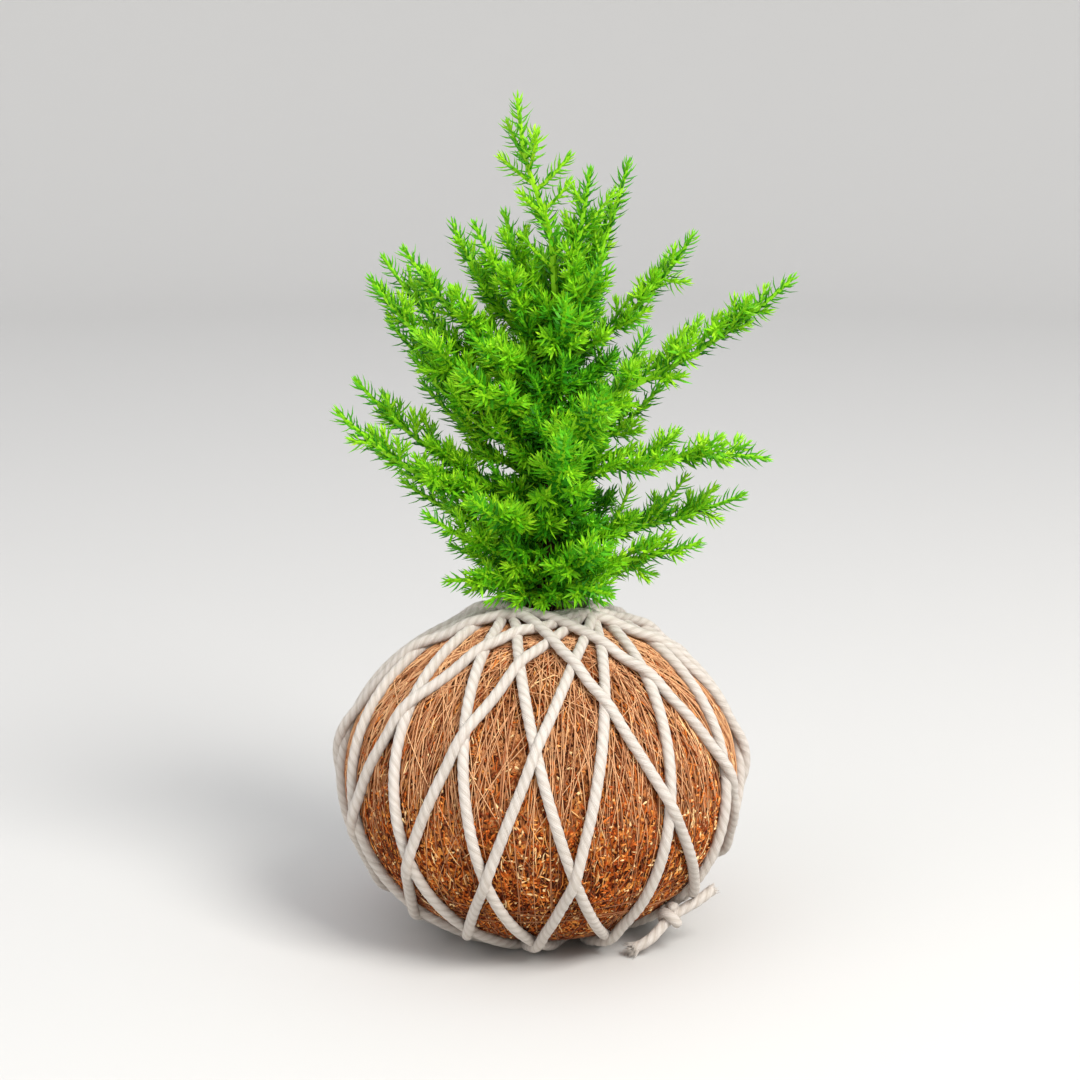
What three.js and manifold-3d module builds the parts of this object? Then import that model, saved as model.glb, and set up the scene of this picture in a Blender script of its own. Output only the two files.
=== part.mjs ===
// A kokedama: a ball of soil wrapped in coir fibre, wound with thin brown thread and thick white
// cotton cord, with a small needle-leaved conifer growing out of its top.
// Millimetres, +Z up. The origin is the middle of the flat spot that the ball rests on.
// X is to the right of the front and Y is away from it.

import * as THREE from "three";
import { mergeVertices } from "three/addons/utils/BufferGeometryUtils.js";
import Module from "manifold-3d";

const wasm = await Module();
wasm.setup();
const { Manifold } = wasm;

// The coir ball is a flattened ball that stands on a small flat spot
const BALL_RADIUS = 51.5;
const BALL_HALF_HEIGHT = 42.5;
const BALL_CENTRE = 42.5;
const COIR_WALL = 5;
const COIR_RELIEF = 0.7;
const COIR_MOUTH = 9.5;
const COIR_UNDERSIDE = 4.6;
const COIR_UNDERSIDE_EDGE = 4;
const COIR_RINGS = 11;
const COIR_SEGMENTS = 32;
const HOLLOW_RINGS = 6;
const HOLLOW_FLOOR_ANGLE = 0.5;
const REST_SPOT = 10;
const REST_SPOT_SLOPE = 1.5;

// Soil core and the hole that the stem stands in
const TOUCH_GAP = 0.3;
const SOIL_TOP = 86.2;
const STEM_HOLE_FLOOR = 60;
const SOIL_SHOULDER = [2.2, 0.6];
const SOIL_SEGMENTS = 18;

// Thin brown thread, in turns from pole to pole
const THREAD_RADIUS = 0.3;
const THREAD_HEIGHT = 0.5;
const THREAD_TURNS = 3;
const THREAD_FLOOR = 4.1;
const THREAD_FIRST_LEAN = 11;
const THREAD_TOP = 12;
const THREAD_BOTTOM = 16;
const THREAD_SAMPLES = 120;
const THREAD_TOLERANCE = 0.3;
const THREAD_LONGEST_STEP = 14;

// Thick white cord
const CORD_RADIUS = 1.75;
const CORD_LIFT = 1.4;
const CORD_FLOOR = 1.8;
const CORD_STACK = 2.8;
const CORD_PRESS = { free: 2.6, more: 1.9, ease: 3 };
const CORD_SLOPE = 0.22;
// A four-sided section of about the round cord's area, by its corners
const CORD_SIDES = 4;
const CORD_CORNER = 2.1;
const CORD_SAMPLES = 144;
const CORD_TOLERANCE = 0.7;
const CORD_LONGEST_STEP = 18;
const STEM_CLEARANCE = 8;
const UNDER_CLEARANCE = 13;
// The crossings that the turns make under the ball and deep round the stem are pressed into rings
const RING_BELOW = [[12.3, 0.05], [24.8, 0.05], [31.5, 4.4], [31.5, 7], [24.5, 3.6], [12.3, 3.5]];
const RING_BELOW_REACH = 28.5;
const RING_ABOVE = [[8.3, 85.7], [16.6, 84.5], [18.4, 86.2], [15.6, 90.2], [10.6, 91.2], [8.3, 89.6]];
const RING_ABOVE_REACH = 15;
// The turns wound last run whole over the ring round the stem
const FIRST_TOP_TURN = 15;

// Each turn of the cord is one plane cut of the ball. A row gives the side that the turn leans to
// over the top, in degrees, how far from the axis it passes there, and how far below the ball.
// The rows are in the order of winding, so each lies over those before it.
const CORD_TURNS = [
  [177, 6, 20],
  [158, 7, 12],
  [135, 9, 12],
  [112, 10, 12],
  [92, 8, 10],
  [72, 10, 4],
  [52, 16, -6],
  [29, 14, -1],
  [10, 13, 9],
  [352, 14, 18],
  [331, 12, 22],
  [304, 11, 22],
  [293, 13, 20],
  [271, 6, 9],
  [250, 8, 18],
  [229, 6, 37],
  [203, 7, 34],
];

// Turns of one size are joined badly where they just touch, so every second one is a little thicker
const CORD_UNEVEN = 0.015;
const CORD_JOIN_TOLERANCE = 0.12;
const TURN_OVERLAP = 0.05;
// Half the stretch, in radians, over which a turn runs over into the next
const TURN_SHIFT = 0.5;

// The tie at the lower right of the front
const KNOT = [35.6, -22.2, 12.6];
const LEAD_LIFT = 0.6;
const LOOP_POINTS = 9;
const TAIL_UP = [[40.5, -21.5, 13.6], [47.3, -18.6, 16.4]];
const TAIL_DOWN = [[33.6, -24.6, 6.4], [29.5, -25.2, 2.4], [24.6, -23.6, 1.9]];

// Trunk: its line leans a little, first to the right and then to the left
const TRUNK_LINE = [[0, 0, 60.4], [0, 0, 84], [2.4, 0, 104], [3.4, 0, 124], [4.2, 0, 150], [3.6, 0, 172]];
const TRUNK_BASE_RADIUS = 3;
const TRUNK_TOP_RADIUS = 1.2;
const TRUNK_SIDES = 8;
const LEADER_LINE = [[3.6, 0, 172.4], [2.4, 0, 187], [-1, 0, 198], [-4.2, 0, 208], [-6.1, 0, 222.6]];

// Limbs that make the outline: height where each leaves the trunk, its tip, and how far it arches
const OUTLINE_LIMBS = [
  { from: 165, tip: [12.5, -5, 204.5], arch: 0.35 },
  { from: 160, tip: [22.5, 3, 206], arch: 0.35 },
  { from: 154, tip: [39, -3, 188], arch: 0.3 },
  { from: 140, tip: [64.5, -8, 177.5], arch: 0.35 },
  { from: 129, tip: [31.8, 9, 147], arch: 0.2 },
  { from: 122, tip: [58.5, -9, 130.7], arch: 1.3 },
  { from: 106, tip: [53.5, 5, 118], arch: 0.3 },
  { from: 99, tip: [41.5, -10, 108.5], arch: 0.3 },
  { from: 95.5, tip: [26.5, 8, 98.5], arch: 0.7 },
  { from: 96, tip: [18, -22, 97.5], arch: 0.8 },
  { from: 162, tip: [-9.5, 4, 193], arch: 0.3 },
  { from: 158, tip: [-17, -6, 191], arch: 0.4 },
  { from: 152, tip: [-23, 6, 190], arch: 0.35 },
  { from: 147, tip: [-35, -7, 184.8], arch: 0.35 },
  { from: 142, tip: [-41, 7, 180.8], arch: 0.3 },
  { from: 137, tip: [-43.5, -8, 177.2], arch: 0.3 },
  { from: 132, tip: [-40, 9, 164], arch: 0.3 },
  { from: 127, tip: [-33, -5, 156.7], arch: 0.3 },
  { from: 120, tip: [-31.5, 8, 148], arch: 0.4 },
  { from: 115, tip: [-48, -3, 150], arch: 0.3 },
  { from: 110, tip: [-52.5, -12, 143.5], arch: 0.3 },
  { from: 105, tip: [-36.5, 5, 121.8], arch: 0.3 },
  { from: 100, tip: [-30, -13, 117], arch: 0.3 },
  { from: 96.5, tip: [-24, 10, 103], arch: 0.5 },
  { from: 93.5, tip: [-24.5, -13, 99], arch: 0.9 },
];

// Limbs towards the front and the back, where no outline shows, follow a rule
const FILL_LIMBS = 16;
const FILL_LOWEST = 98;
const FILL_STEP = 5;
const FILL_SPREAD = 105;
const FILL_RISE = [0.42, 0.95];
const FILL_SEED = 71;

// Needles
const WHORL_STEP = 5.6;
const TWIG_RADIUS = [0.85, 0.6];
const NEEDLE_LENGTH = 4.8;
const NEEDLE_LEAN = 50;
const NEEDLE_EDGE = 0.1;
const TWIG_APART = 2.4;
const SHOOT_SEED = 1207;

const JOIN_TOLERANCE = 0.03;
const JOIN_SHIFT = 0.013;
const UP = new THREE.Vector3(0, 0, 1);
const rad = THREE.MathUtils.degToRad;
const clamp = THREE.MathUtils.clamp;
const vec = ([x, y, z]) => new THREE.Vector3(x, y, z);

// Repeatable random numbers from 0 to 1
function randomFrom(seed) {
  let state = seed >>> 0;
  return () => {
    state = (state + 0x6d2b79f5) >>> 0;
    let t = state;
    t = Math.imul(t ^ (t >>> 15), t | 1);
    t ^= t + Math.imul(t ^ (t >>> 7), t | 61);
    return ((t ^ (t >>> 14)) >>> 0) / 4294967296;
  };
}

function smooth(edge0, edge1, x) {
  const t = clamp((x - edge0) / (edge1 - edge0), 0, 1);
  return t * t * (3 - 2 * t);
}

// A closed mesh from points and triangles
function meshOf(points, faces) {
  const geometry = new THREE.BufferGeometry();
  const xyz = points.flatMap((p) => [p.x, p.y, p.z]);
  geometry.setAttribute("position", new THREE.Float32BufferAttribute(xyz, 3));
  geometry.setIndex(faces.flat());
  return geometry;
}

function solidOf(geometry) {
  const bare = geometry.clone();
  bare.deleteAttribute("normal");
  bare.deleteAttribute("uv");
  const merged = mergeVertices(bare, 1e-4);
  return new Manifold(new wasm.Mesh({
    numProp: 3,
    vertProperties: new Float32Array(merged.attributes.position.array),
    triVerts: new Uint32Array(merged.index.array),
  }));
}

function geometryOf(solid) {
  const mesh = solid.getMesh();
  const geometry = new THREE.BufferGeometry();
  const xyz = new Float32Array(mesh.numVert * 3);
  for (let i = 0; i < mesh.numVert; i += 1) {
    xyz.set(mesh.vertProperties.subarray(i * mesh.numProp, i * mesh.numProp + 3), i * 3);
  }
  geometry.setAttribute("position", new THREE.BufferAttribute(xyz, 3));
  geometry.setIndex(new THREE.BufferAttribute(new Uint32Array(mesh.triVerts), 1));
  geometry.computeVertexNormals();
  return geometry;
}

// The largest body of a joined solid: loose scraps are dropped and hollows that joining seals are filled
function mainBody(solid) {
  return solid.decompose().reduce((a, b) => (b.volume() > a.volume() ? b : a));
}

// Pieces joined in one body, without the slivers of the join. Where two faces of the result just
// meet at an edge, it is made again with the pieces shifted by a few hundredths.
function joined(pieces, tolerance) {
  let body;
  for (let round = 0; round < 8; round += 1) {
    const shifted = pieces.map((piece, i) => piece.translate([0, 0, JOIN_SHIFT * round * ((i % 3) - 1)]));
    body = mainBody(Manifold.union(shifted).asOriginal().simplify(tolerance));
    if (edgesArePaired(body.getMesh())) break;
  }
  return body;
}

// Whether each edge has two faces, with corners closer than a thousandth taken as one
function edgesArePaired(mesh) {
  const numbers = new Map();
  const corner = (v) => {
    const at = v * mesh.numProp;
    const key = [0, 1, 2].map((i) => Math.round(mesh.vertProperties[at + i] * 1000)).join();
    if (!numbers.has(key)) numbers.set(key, numbers.size);
    return numbers.get(key);
  };
  const faces = new Map();
  for (let i = 0; i < mesh.triVerts.length; i += 3) {
    const t = [0, 1, 2].map((k) => corner(mesh.triVerts[i + k]));
    for (let k = 0; k < 3; k += 1) {
      const [a, b] = [t[k], t[(k + 1) % 3]];
      const key = a < b ? `${a} ${b}` : `${b} ${a}`;
      faces.set(key, (faces.get(key) || 0) + 1);
    }
  }
  return [...faces.values()].every((count) => count === 2);
}

// A body of revolution whose profile, a list of [radius, height], starts and ends on the axis
function turned(profile, segments, shape = (p) => p) {
  const points = [];
  const faces = [];
  const rows = profile.map(([r, z]) => {
    if (r < 1e-9) {
      points.push(shape(new THREE.Vector3(0, 0, z)));
      return [points.length - 1];
    }
    return Array.from({ length: segments }, (_, i) => {
      const angle = (2 * Math.PI * i) / segments;
      points.push(shape(new THREE.Vector3(r * Math.cos(angle), r * Math.sin(angle), z)));
      return points.length - 1;
    });
  });
  for (let k = 0; k + 1 < rows.length; k += 1) {
    const [low, high] = [rows[k], rows[k + 1]];
    for (let i = 0; i < segments; i += 1) {
      const j = (i + 1) % segments;
      if (low.length > 1) faces.push([low[i], low[j], high[high.length > 1 ? j : 0]]);
      if (high.length > 1) faces.push([low[low.length > 1 ? i : 0], high[j], high[i]]);
    }
  }
  return meshOf(points, faces);
}

// A closed tube round a line of points; out(point) gives the way that its last side faces
function tube(line, radiusAt, sides, out) {
  const points = [];
  const faces = [];
  line.forEach((p, k) => {
    const along = line[Math.min(k + 1, line.length - 1)].clone().sub(line[Math.max(k - 1, 0)]).normalize();
    const normal = out(p).clone().addScaledVector(along, -out(p).dot(along)).normalize();
    const side = along.clone().cross(normal);
    for (let i = 0; i < sides; i += 1) {
      const angle = (2 * Math.PI * (i + 0.5)) / sides;
      points.push(p.clone()
        .addScaledVector(normal, radiusAt(k) * Math.cos(angle))
        .addScaledVector(side, radiusAt(k) * Math.sin(angle)));
    }
  });
  for (let k = 0; k + 1 < line.length; k += 1) {
    for (let i = 0; i < sides; i += 1) {
      const j = (i + 1) % sides;
      const [a, b, c, d] = [k * sides + i, k * sides + j, (k + 1) * sides + i, (k + 1) * sides + j];
      faces.push([a, b, d], [a, d, c]);
    }
  }
  const last = (line.length - 1) * sides;
  for (let i = 1; i + 1 < sides; i += 1) {
    faces.push([0, i + 1, i], [last, last + i, last + i + 1]);
  }
  return meshOf(points, faces);
}

// Coir shell: a pressed underside with a small flat spot, a bulging side, a rim and an inner wall
function coirShell() {
  const profile = [[0, 0], [REST_SPOT, 0], [REST_SPOT + REST_SPOT_SLOPE, COIR_UNDERSIDE]];
  const flatEdge = BALL_RADIUS * Math.sqrt(1 - ((BALL_CENTRE - COIR_UNDERSIDE) / BALL_HALF_HEIGHT) ** 2);
  profile.push([flatEdge - COIR_UNDERSIDE_EDGE, COIR_UNDERSIDE]);
  const first = Math.acos((BALL_CENTRE - COIR_UNDERSIDE) / BALL_HALF_HEIGHT);
  const last = Math.PI - Math.asin(COIR_MOUTH / BALL_RADIUS);
  for (let k = 0; k <= COIR_RINGS; k += 1) {
    const angle = first + ((last - first) * k) / COIR_RINGS;
    profile.push([BALL_RADIUS * Math.sin(angle), BALL_CENTRE - BALL_HALF_HEIGHT * Math.cos(angle)]);
  }
  profile.push(...hollow(0));
  return turned(profile, COIR_SEGMENTS, fibreRelief);
}

// The outline of the hollow in the coir, from the mouth down to a flat floor on the axis, or of
// what fills it at a gap
function hollow(gap) {
  const across = BALL_RADIUS - COIR_WALL;
  const tall = BALL_HALF_HEIGHT - COIR_WALL;
  const first = Math.asin(COIR_MOUTH / across);
  const last = Math.PI - HOLLOW_FLOOR_ANGLE;
  const wall = Array.from({ length: HOLLOW_RINGS + 1 }, (_, k) => {
    const angle = first + ((last - first) * k) / HOLLOW_RINGS;
    return [(across - gap) * Math.sin(angle), BALL_CENTRE + (tall - gap) * Math.cos(angle)];
  });
  return [...wall, [0, wall[HOLLOW_RINGS][1]]];
}

// Fibre relief: upright ribs that wander, cut into the outside of the ball only
function fibreRelief(p) {
  const radius = Math.hypot(p.x, p.y);
  const outside = Math.hypot(radius / BALL_RADIUS, (p.z - BALL_CENTRE) / BALL_HALF_HEIGHT) > 0.97;
  if (!outside || p.z < COIR_UNDERSIDE + 0.5) return p;
  const angle = Math.atan2(p.y, p.x);
  const ribs = Math.sin(10 * angle + 2 * Math.sin(p.z / 9)) + 0.6 * Math.sin(7 * angle - p.z / 5);
  const depth = (COIR_RELIEF * (ribs + 1.6)) / 3.2;
  const away = new THREE.Vector3(p.x, p.y, p.z - BALL_CENTRE).normalize();
  return p.clone().addScaledVector(away, -depth);
}

// Soil core: fills the coir, stands up a little in its mouth, and has a plain hole for the stem
function soilCore() {
  const neck = COIR_MOUTH - 2 * TOUCH_GAP;
  const hole = TRUNK_BASE_RADIUS + TOUCH_GAP;
  const [shoulder, slope] = SOIL_SHOULDER;
  const profile = hollow(2 * TOUCH_GAP).reverse();
  profile.push([neck, BALL_CENTRE + BALL_HALF_HEIGHT - COIR_WALL]);
  profile.push([neck, SOIL_TOP - shoulder], [neck - shoulder, SOIL_TOP - slope], [hole, SOIL_TOP]);
  profile.push([hole, STEM_HOLE_FLOOR], [0, STEM_HOLE_FLOOR]);
  return turned(profile, SOIL_SEGMENTS);
}

// A point of a turn of cord or thread. The turn is a plane cut of the ball, t is 0 at the top and
// grows towards the side 90 degrees past the lean, and height is how far the line stands off the coir.
function turnPoint([lean, top, bottom], t, height, floor) {
  const across = BALL_RADIUS + height;
  const tall = BALL_HALF_HEIGHT + height;
  const high = [top / across, Math.sqrt(1 - (top / across) ** 2)];
  const low = [-bottom / across, -Math.sqrt(1 - (bottom / across) ** 2)];
  const span = Math.hypot(high[0] - low[0], high[1] - low[1]);
  const along = [(high[0] - low[0]) / span, (high[1] - low[1]) / span];
  const normal = [along[1], -along[0]];
  const offset = normal[0] * high[0] + normal[1] * high[1];
  const reach = Math.sqrt(1 - offset * offset);
  const u = offset * normal[0] + reach * Math.cos(t) * along[0];
  const w = offset * normal[1] + reach * Math.cos(t) * along[1];
  const v = reach * Math.sin(t);
  const [c, s] = [Math.cos(rad(lean)), Math.sin(rad(lean))];
  const p = new THREE.Vector3(across * (u * c - v * s), across * (u * s + v * c), BALL_CENTRE + tall * w);
  // Nothing passes through the stem or under the flat spot, so the line goes round them
  const clearance = w > 0 ? STEM_CLEARANCE : UNDER_CLEARANCE;
  const radius = Math.hypot(p.x, p.y);
  const pushed = (radius ** 4 + clearance ** 4) ** 0.25 / radius;
  return new THREE.Vector3(p.x * pushed, p.y * pushed, Math.max(p.z, floor));
}

// How far each turn stands off where it crosses the turns below it
function stackHeights() {
  const rest = CORD_TURNS.map((turn) => Array.from({ length: CORD_SAMPLES }, (_, i) =>
    turnPoint(turn, (2 * Math.PI * i) / CORD_SAMPLES, CORD_LIFT + CORD_RADIUS, CORD_FLOOR)));
  const heights = [];
  rest.forEach((line, k) => {
    const rise = line.map((p) => {
      let most = 0;
      for (let j = 0; j < k; j += 1) {
        rest[j].forEach((q, m) => {
          const apart = p.distanceTo(q);
          if (apart < CORD_STACK) {
            most = Math.max(most, heights[j][m] + Math.sqrt(CORD_STACK ** 2 - apart ** 2));
          }
        });
      }
      return pressed(most) * smooth(1.9, 7, p.z);
    });
    heights.push(eased(rise));
  });
  return heights;
}

// Where many turns cross, the soft cord is pressed together, so the pile rises ever less
function pressed(height) {
  const { free, more, ease } = CORD_PRESS;
  return height < free ? height : free + more * (1 - Math.exp((free - height) / ease));
}

// A cord comes down from what it crosses at an even slope, and a short average rounds the turns
function eased(rise) {
  const count = rise.length;
  const step = (2 * Math.PI * BALL_RADIUS) / count;
  const fall = CORD_SLOPE * step;
  const sloped = rise.map((_, i) => {
    let most = 0;
    for (let d = -20; d <= 20; d += 1) {
      most = Math.max(most, rise[(i + d + count) % count] - fall * Math.abs(d));
    }
    return most;
  });
  return sloped.map((h, i) =>
    (sloped[(i + count - 1) % count] + 2 * h + sloped[(i + 1) % count]) / 4);
}

const CORD_HEIGHTS = stackHeights();

// A point of the whole cord, on turn k at angle t from the top. Round the underside each turn
// runs over into the next.
function cordPoint(k, t) {
  const at = (turn, angle) => {
    const heights = CORD_HEIGHTS[turn];
    const spot = ((((angle / (2 * Math.PI)) * CORD_SAMPLES) % CORD_SAMPLES) + CORD_SAMPLES) % CORD_SAMPLES;
    const i = Math.floor(spot);
    const f = spot - i;
    const h = heights[i % CORD_SAMPLES] * (1 - f) + heights[(i + 1) % CORD_SAMPLES] * f;
    return turnPoint(CORD_TURNS[turn], angle, CORD_LIFT + CORD_RADIUS + h, CORD_FLOOR);
  };
  const shift = TURN_SHIFT;
  if (t > Math.PI - shift && k + 1 < CORD_TURNS.length) {
    return at(k, t).lerp(at(k + 1, t - 2 * Math.PI), smooth(Math.PI - shift, Math.PI + shift, t));
  }
  if (t < shift - Math.PI && k > 0) {
    return at(k - 1, t + 2 * Math.PI).lerp(at(k, t), smooth(-Math.PI - shift, shift - Math.PI, t));
  }
  return at(k, t);
}

// The fewest points of a line that keep it within a tolerance, with no step too long
function thinned(line, tolerance, longest) {
  const far = (a, b) => {
    let worst = -1;
    let at = -1;
    const chord = new THREE.Line3(line[a], line[b]);
    const spot = new THREE.Vector3();
    for (let i = a + 1; i < b; i += 1) {
      chord.closestPointToPoint(line[i], true, spot);
      const d = spot.distanceTo(line[i]);
      if (d > worst) [worst, at] = [d, i];
    }
    return [worst, at];
  };
  const keep = (a, b) => {
    if (b - a < 2) return [line[b]];
    const [worst, at] = far(a, b);
    const middle = Math.floor((a + b) / 2);
    if (worst > tolerance) return [...keep(a, at), ...keep(at, b)];
    if (line[a].distanceTo(line[b]) > longest) return [...keep(a, middle), ...keep(middle, b)];
    return [line[b]];
  };
  return [line[0], ...keep(0, line.length - 1)];
}

// A point moved to where a cord lies on the ball
function onBall(p) {
  const off = CORD_LIFT + CORD_RADIUS + LEAD_LIFT;
  const across = Math.hypot(p.x, p.y) / (BALL_RADIUS + off);
  const size = Math.hypot(across, (p.z - BALL_CENTRE) / (BALL_HALF_HEIGHT + off));
  const z = BALL_CENTRE + (p.z - BALL_CENTRE) / size;
  return new THREE.Vector3(p.x / size, p.y / size, Math.max(z, CORD_FLOOR));
}

const fromCentre = (p) => new THREE.Vector3(p.x, p.y, p.z - BALL_CENTRE).normalize();
// The cord's section has a flat side towards the ball
function cordTube(line, radius) {
  return solidOf(tube(line, () => radius, CORD_SIDES, fromCentre));
}

function turnLine(k, from, to) {
  const steps = Math.round(((to - from) / (2 * Math.PI)) * CORD_SAMPLES);
  return Array.from({ length: steps + 1 }, (_, i) => cordPoint(k, from + ((to - from) * i) / steps));
}

// Cotton cord: its turns, the ring where they are pressed together under the ball, and the tie
function cottonCord() {
  const pieces = CORD_TURNS.flatMap((_, k) => {
    const line = turnLine(k, -Math.PI - (k > 0 ? TURN_OVERLAP : 0), Math.PI + TURN_OVERLAP);
    const corner = CORD_CORNER + CORD_UNEVEN * (k % 2);
    return visibleRuns(line, k).map((run) =>
      cordTube(thinned(run, CORD_TOLERANCE, CORD_LONGEST_STEP), corner));
  });
  pieces.push(solidOf(turnedRing(RING_BELOW, 24)), solidOf(turnedRing(RING_ABOVE, 28)));
  pieces.push(...knot());
  return geometryOf(joined(pieces, CORD_JOIN_TOLERANCE));
}

// The stretches of a turn that are not deep inside one of the rings
function visibleRuns(line, k) {
  const runs = [[]];
  line.forEach((p) => {
    const radius = Math.hypot(p.x, p.y);
    const deepBelow = p.z < BALL_CENTRE && radius < RING_BELOW_REACH;
    const deepAbove = k < FIRST_TOP_TURN && p.z > BALL_CENTRE && radius < RING_ABOVE_REACH;
    if (deepBelow || deepAbove) {
      if (runs[runs.length - 1].length) runs.push([]);
    } else {
      runs[runs.length - 1].push(p);
    }
  });
  return runs.filter((run) => run.length > 2);
}

// A ring whose profile closes on itself
function turnedRing(profile, segments) {
  const points = [];
  const faces = [];
  const count = profile.length;
  for (let i = 0; i < segments; i += 1) {
    const angle = (2 * Math.PI * i) / segments;
    profile.forEach(([r, z]) =>
      points.push(new THREE.Vector3(r * Math.cos(angle), r * Math.sin(angle), z)));
  }
  for (let i = 0; i < segments; i += 1) {
    for (let k = 0; k < count; k += 1) {
      const [a, b] = [i * count + k, i * count + ((k + 1) % count)];
      const next = ((i + 1) % segments) * count;
      const [c, d] = [next + k, next + ((k + 1) % count)];
      faces.push([a, d, b], [a, c, d]);
    }
  }
  return meshOf(points, faces);
}

// The tie: two round turns over the crossing, a free tail up to the right and one on the ground
function knot() {
  const centre = vec(KNOT);
  const out = fromCentre(centre);
  const down = UP.clone().negate().addScaledVector(out, out.z).normalize();
  const sideways = out.clone().cross(down).normalize();
  const loop = (a, b, shift, radius) => {
    const line = Array.from({ length: LOOP_POINTS + 1 }, (_, i) => {
      const angle = (2 * Math.PI * i * 1.04) / LOOP_POINTS;
      return centre.clone().add(shift)
        .addScaledVector(a, radius * Math.cos(angle))
        .addScaledVector(b, radius * Math.sin(angle));
    });
    return solidOf(tube(line, () => CORD_CORNER, CORD_SIDES, (p) => p.clone().sub(centre).sub(shift)));
  };
  const across = sideways.clone().addScaledVector(down, 0.5).normalize();
  const steep = down.clone().addScaledVector(sideways, -0.4).normalize();
  const lastEnd = cordPoint(CORD_TURNS.length - 1, Math.PI - 0.1);
  const firstEnd = cordPoint(0, 0.3 - Math.PI);
  const lead = (end) => {
    const line = Array.from({ length: 6 }, (_, i) => onBall(end.clone().lerp(centre, i / 5)));
    return cordTube([...line, centre], CORD_CORNER - 0.02);
  };
  return [
    loop(out, across, out.clone().multiplyScalar(1.6), 2.6),
    loop(out, steep, out.clone().multiplyScalar(1.4), 2.8),
    cordTube([centre, ...TAIL_UP.map(vec)], CORD_CORNER - 0.03),
    cordTube([centre, ...TAIL_DOWN.map(vec)], CORD_CORNER - 0.04),
    lead(lastEnd),
    lead(firstEnd),
  ];
}

// Binding thread: turns of thin thread that cross round both poles
function bindingThread() {
  const turns = Array.from({ length: THREAD_TURNS }, (_, k) => {
    const lean = (k * 180) / THREAD_TURNS + THREAD_FIRST_LEAN;
    const turn = [lean, k % 2 ? THREAD_TOP : -THREAD_TOP, THREAD_BOTTOM];
    const line = Array.from({ length: THREAD_SAMPLES + 1 }, (_unused, i) =>
      turnPoint(turn, (2 * Math.PI * (i + 0.3 * k)) / THREAD_SAMPLES, THREAD_HEIGHT, THREAD_FLOOR));
    const ring = thinned(line, THREAD_TOLERANCE, THREAD_LONGEST_STEP).slice(0, -1);
    return solidOf(closedTube(ring, THREAD_RADIUS, 3));
  });
  return geometryOf(joined(turns, JOIN_TOLERANCE));
}

// A tube whose line closes on itself
function closedTube(line, radius, sides) {
  const points = [];
  const faces = [];
  const count = line.length;
  line.forEach((p, k) => {
    const along = line[(k + 1) % count].clone().sub(line[(k + count - 1) % count]).normalize();
    const normal = fromCentre(p).addScaledVector(along, -fromCentre(p).dot(along)).normalize();
    const side = along.clone().cross(normal);
    for (let i = 0; i < sides; i += 1) {
      const angle = (2 * Math.PI * i) / sides;
      points.push(p.clone()
        .addScaledVector(normal, radius * Math.cos(angle))
        .addScaledVector(side, radius * Math.sin(angle)));
    }
  });
  for (let k = 0; k < count; k += 1) {
    for (let i = 0; i < sides; i += 1) {
      const next = ((k + 1) % count) * sides;
      const j = (i + 1) % sides;
      faces.push([k * sides + i, k * sides + j, next + j], [k * sides + i, next + j, next + i]);
    }
  }
  return meshOf(points, faces);
}

// The trunk's middle and radius at a height
function trunkAt(z) {
  const line = TRUNK_LINE;
  const last = line.length - 1;
  let k = line.findIndex((p) => p[2] > z);
  k = clamp(k < 0 ? last : k, 1, last);
  const f = clamp((z - line[k - 1][2]) / (line[k][2] - line[k - 1][2]), 0, 1);
  const middle = vec(line[k - 1]).lerp(vec(line[k]), f);
  const taper = clamp((z - 86) / (line[last][2] - 86), 0, 1);
  return { middle, radius: TRUNK_BASE_RADIUS + (TRUNK_TOP_RADIUS - TRUNK_BASE_RADIUS) * taper };
}

function trunk() {
  const heights = [60.4, 84, 94, 104, 114, 124, 137, 150, 161, 172];
  const line = heights.map((z) => trunkAt(z).middle.setZ(z));
  return tube(line, (k) => trunkAt(heights[k]).radius, TRUNK_SIDES, () => new THREE.Vector3(1, 0, 0));
}

// The line of a limb: it leaves the trunk at a height and bends up to its tip
function limbLine({ from, tip, arch }) {
  const start = trunkAt(from).middle.clone().setZ(from);
  const end = vec(tip);
  const middle = new THREE.Vector3(
    start.x + (end.x - start.x) * 0.6,
    start.y + (end.y - start.y) * 0.6,
    from + (end.z - from) * arch,
  );
  return new THREE.QuadraticBezierCurve3(start, middle, end);
}

// Limbs of the front and back, at heights up the trunk, in turn to the front and the back
function fillLimbs() {
  const random = randomFrom(FILL_SEED);
  return Array.from({ length: FILL_LIMBS }, (_, k) => {
    const from = FILL_LOWEST + FILL_STEP * k * (1 - 0.004 * k);
    const away = rad((k % 2 ? 90 : -90) + (random() - 0.5) * FILL_SPREAD);
    const up = clamp((from - FILL_LOWEST) / (FILL_STEP * FILL_LIMBS), 0, 1);
    const reach = 33 + 9 * Math.sin(Math.PI * clamp(up * 1.5, 0, 1)) - 17 * up ** 2 + 4 * (random() - 0.5);
    const rise = reach * (FILL_RISE[0] + (FILL_RISE[1] - FILL_RISE[0]) * up) * (0.8 + 0.4 * random());
    const start = trunkAt(from).middle;
    const tip = [start.x + reach * Math.cos(away), start.y + reach * Math.sin(away), from + rise];
    return { from, tip, arch: 0.35 };
  });
}

// How far along a limb's line its first ring is clear of the trunk
function clearOfTrunk(curve) {
  const length = curve.getLength();
  let reached = 0.5;
  while (reached < length) {
    const p = curve.getPointAt(reached / length);
    const { middle, radius } = trunkAt(p.z);
    const lean = Math.abs(curve.getTangentAt(reached / length).z);
    const clear = radius + 1.3 * TOUCH_GAP + 1.1 * TWIG_RADIUS[0] * lean;
    if (Math.hypot(p.x - middle.x, p.y - middle.y) > clear) break;
    reached += 0.1;
  }
  return reached;
}

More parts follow.
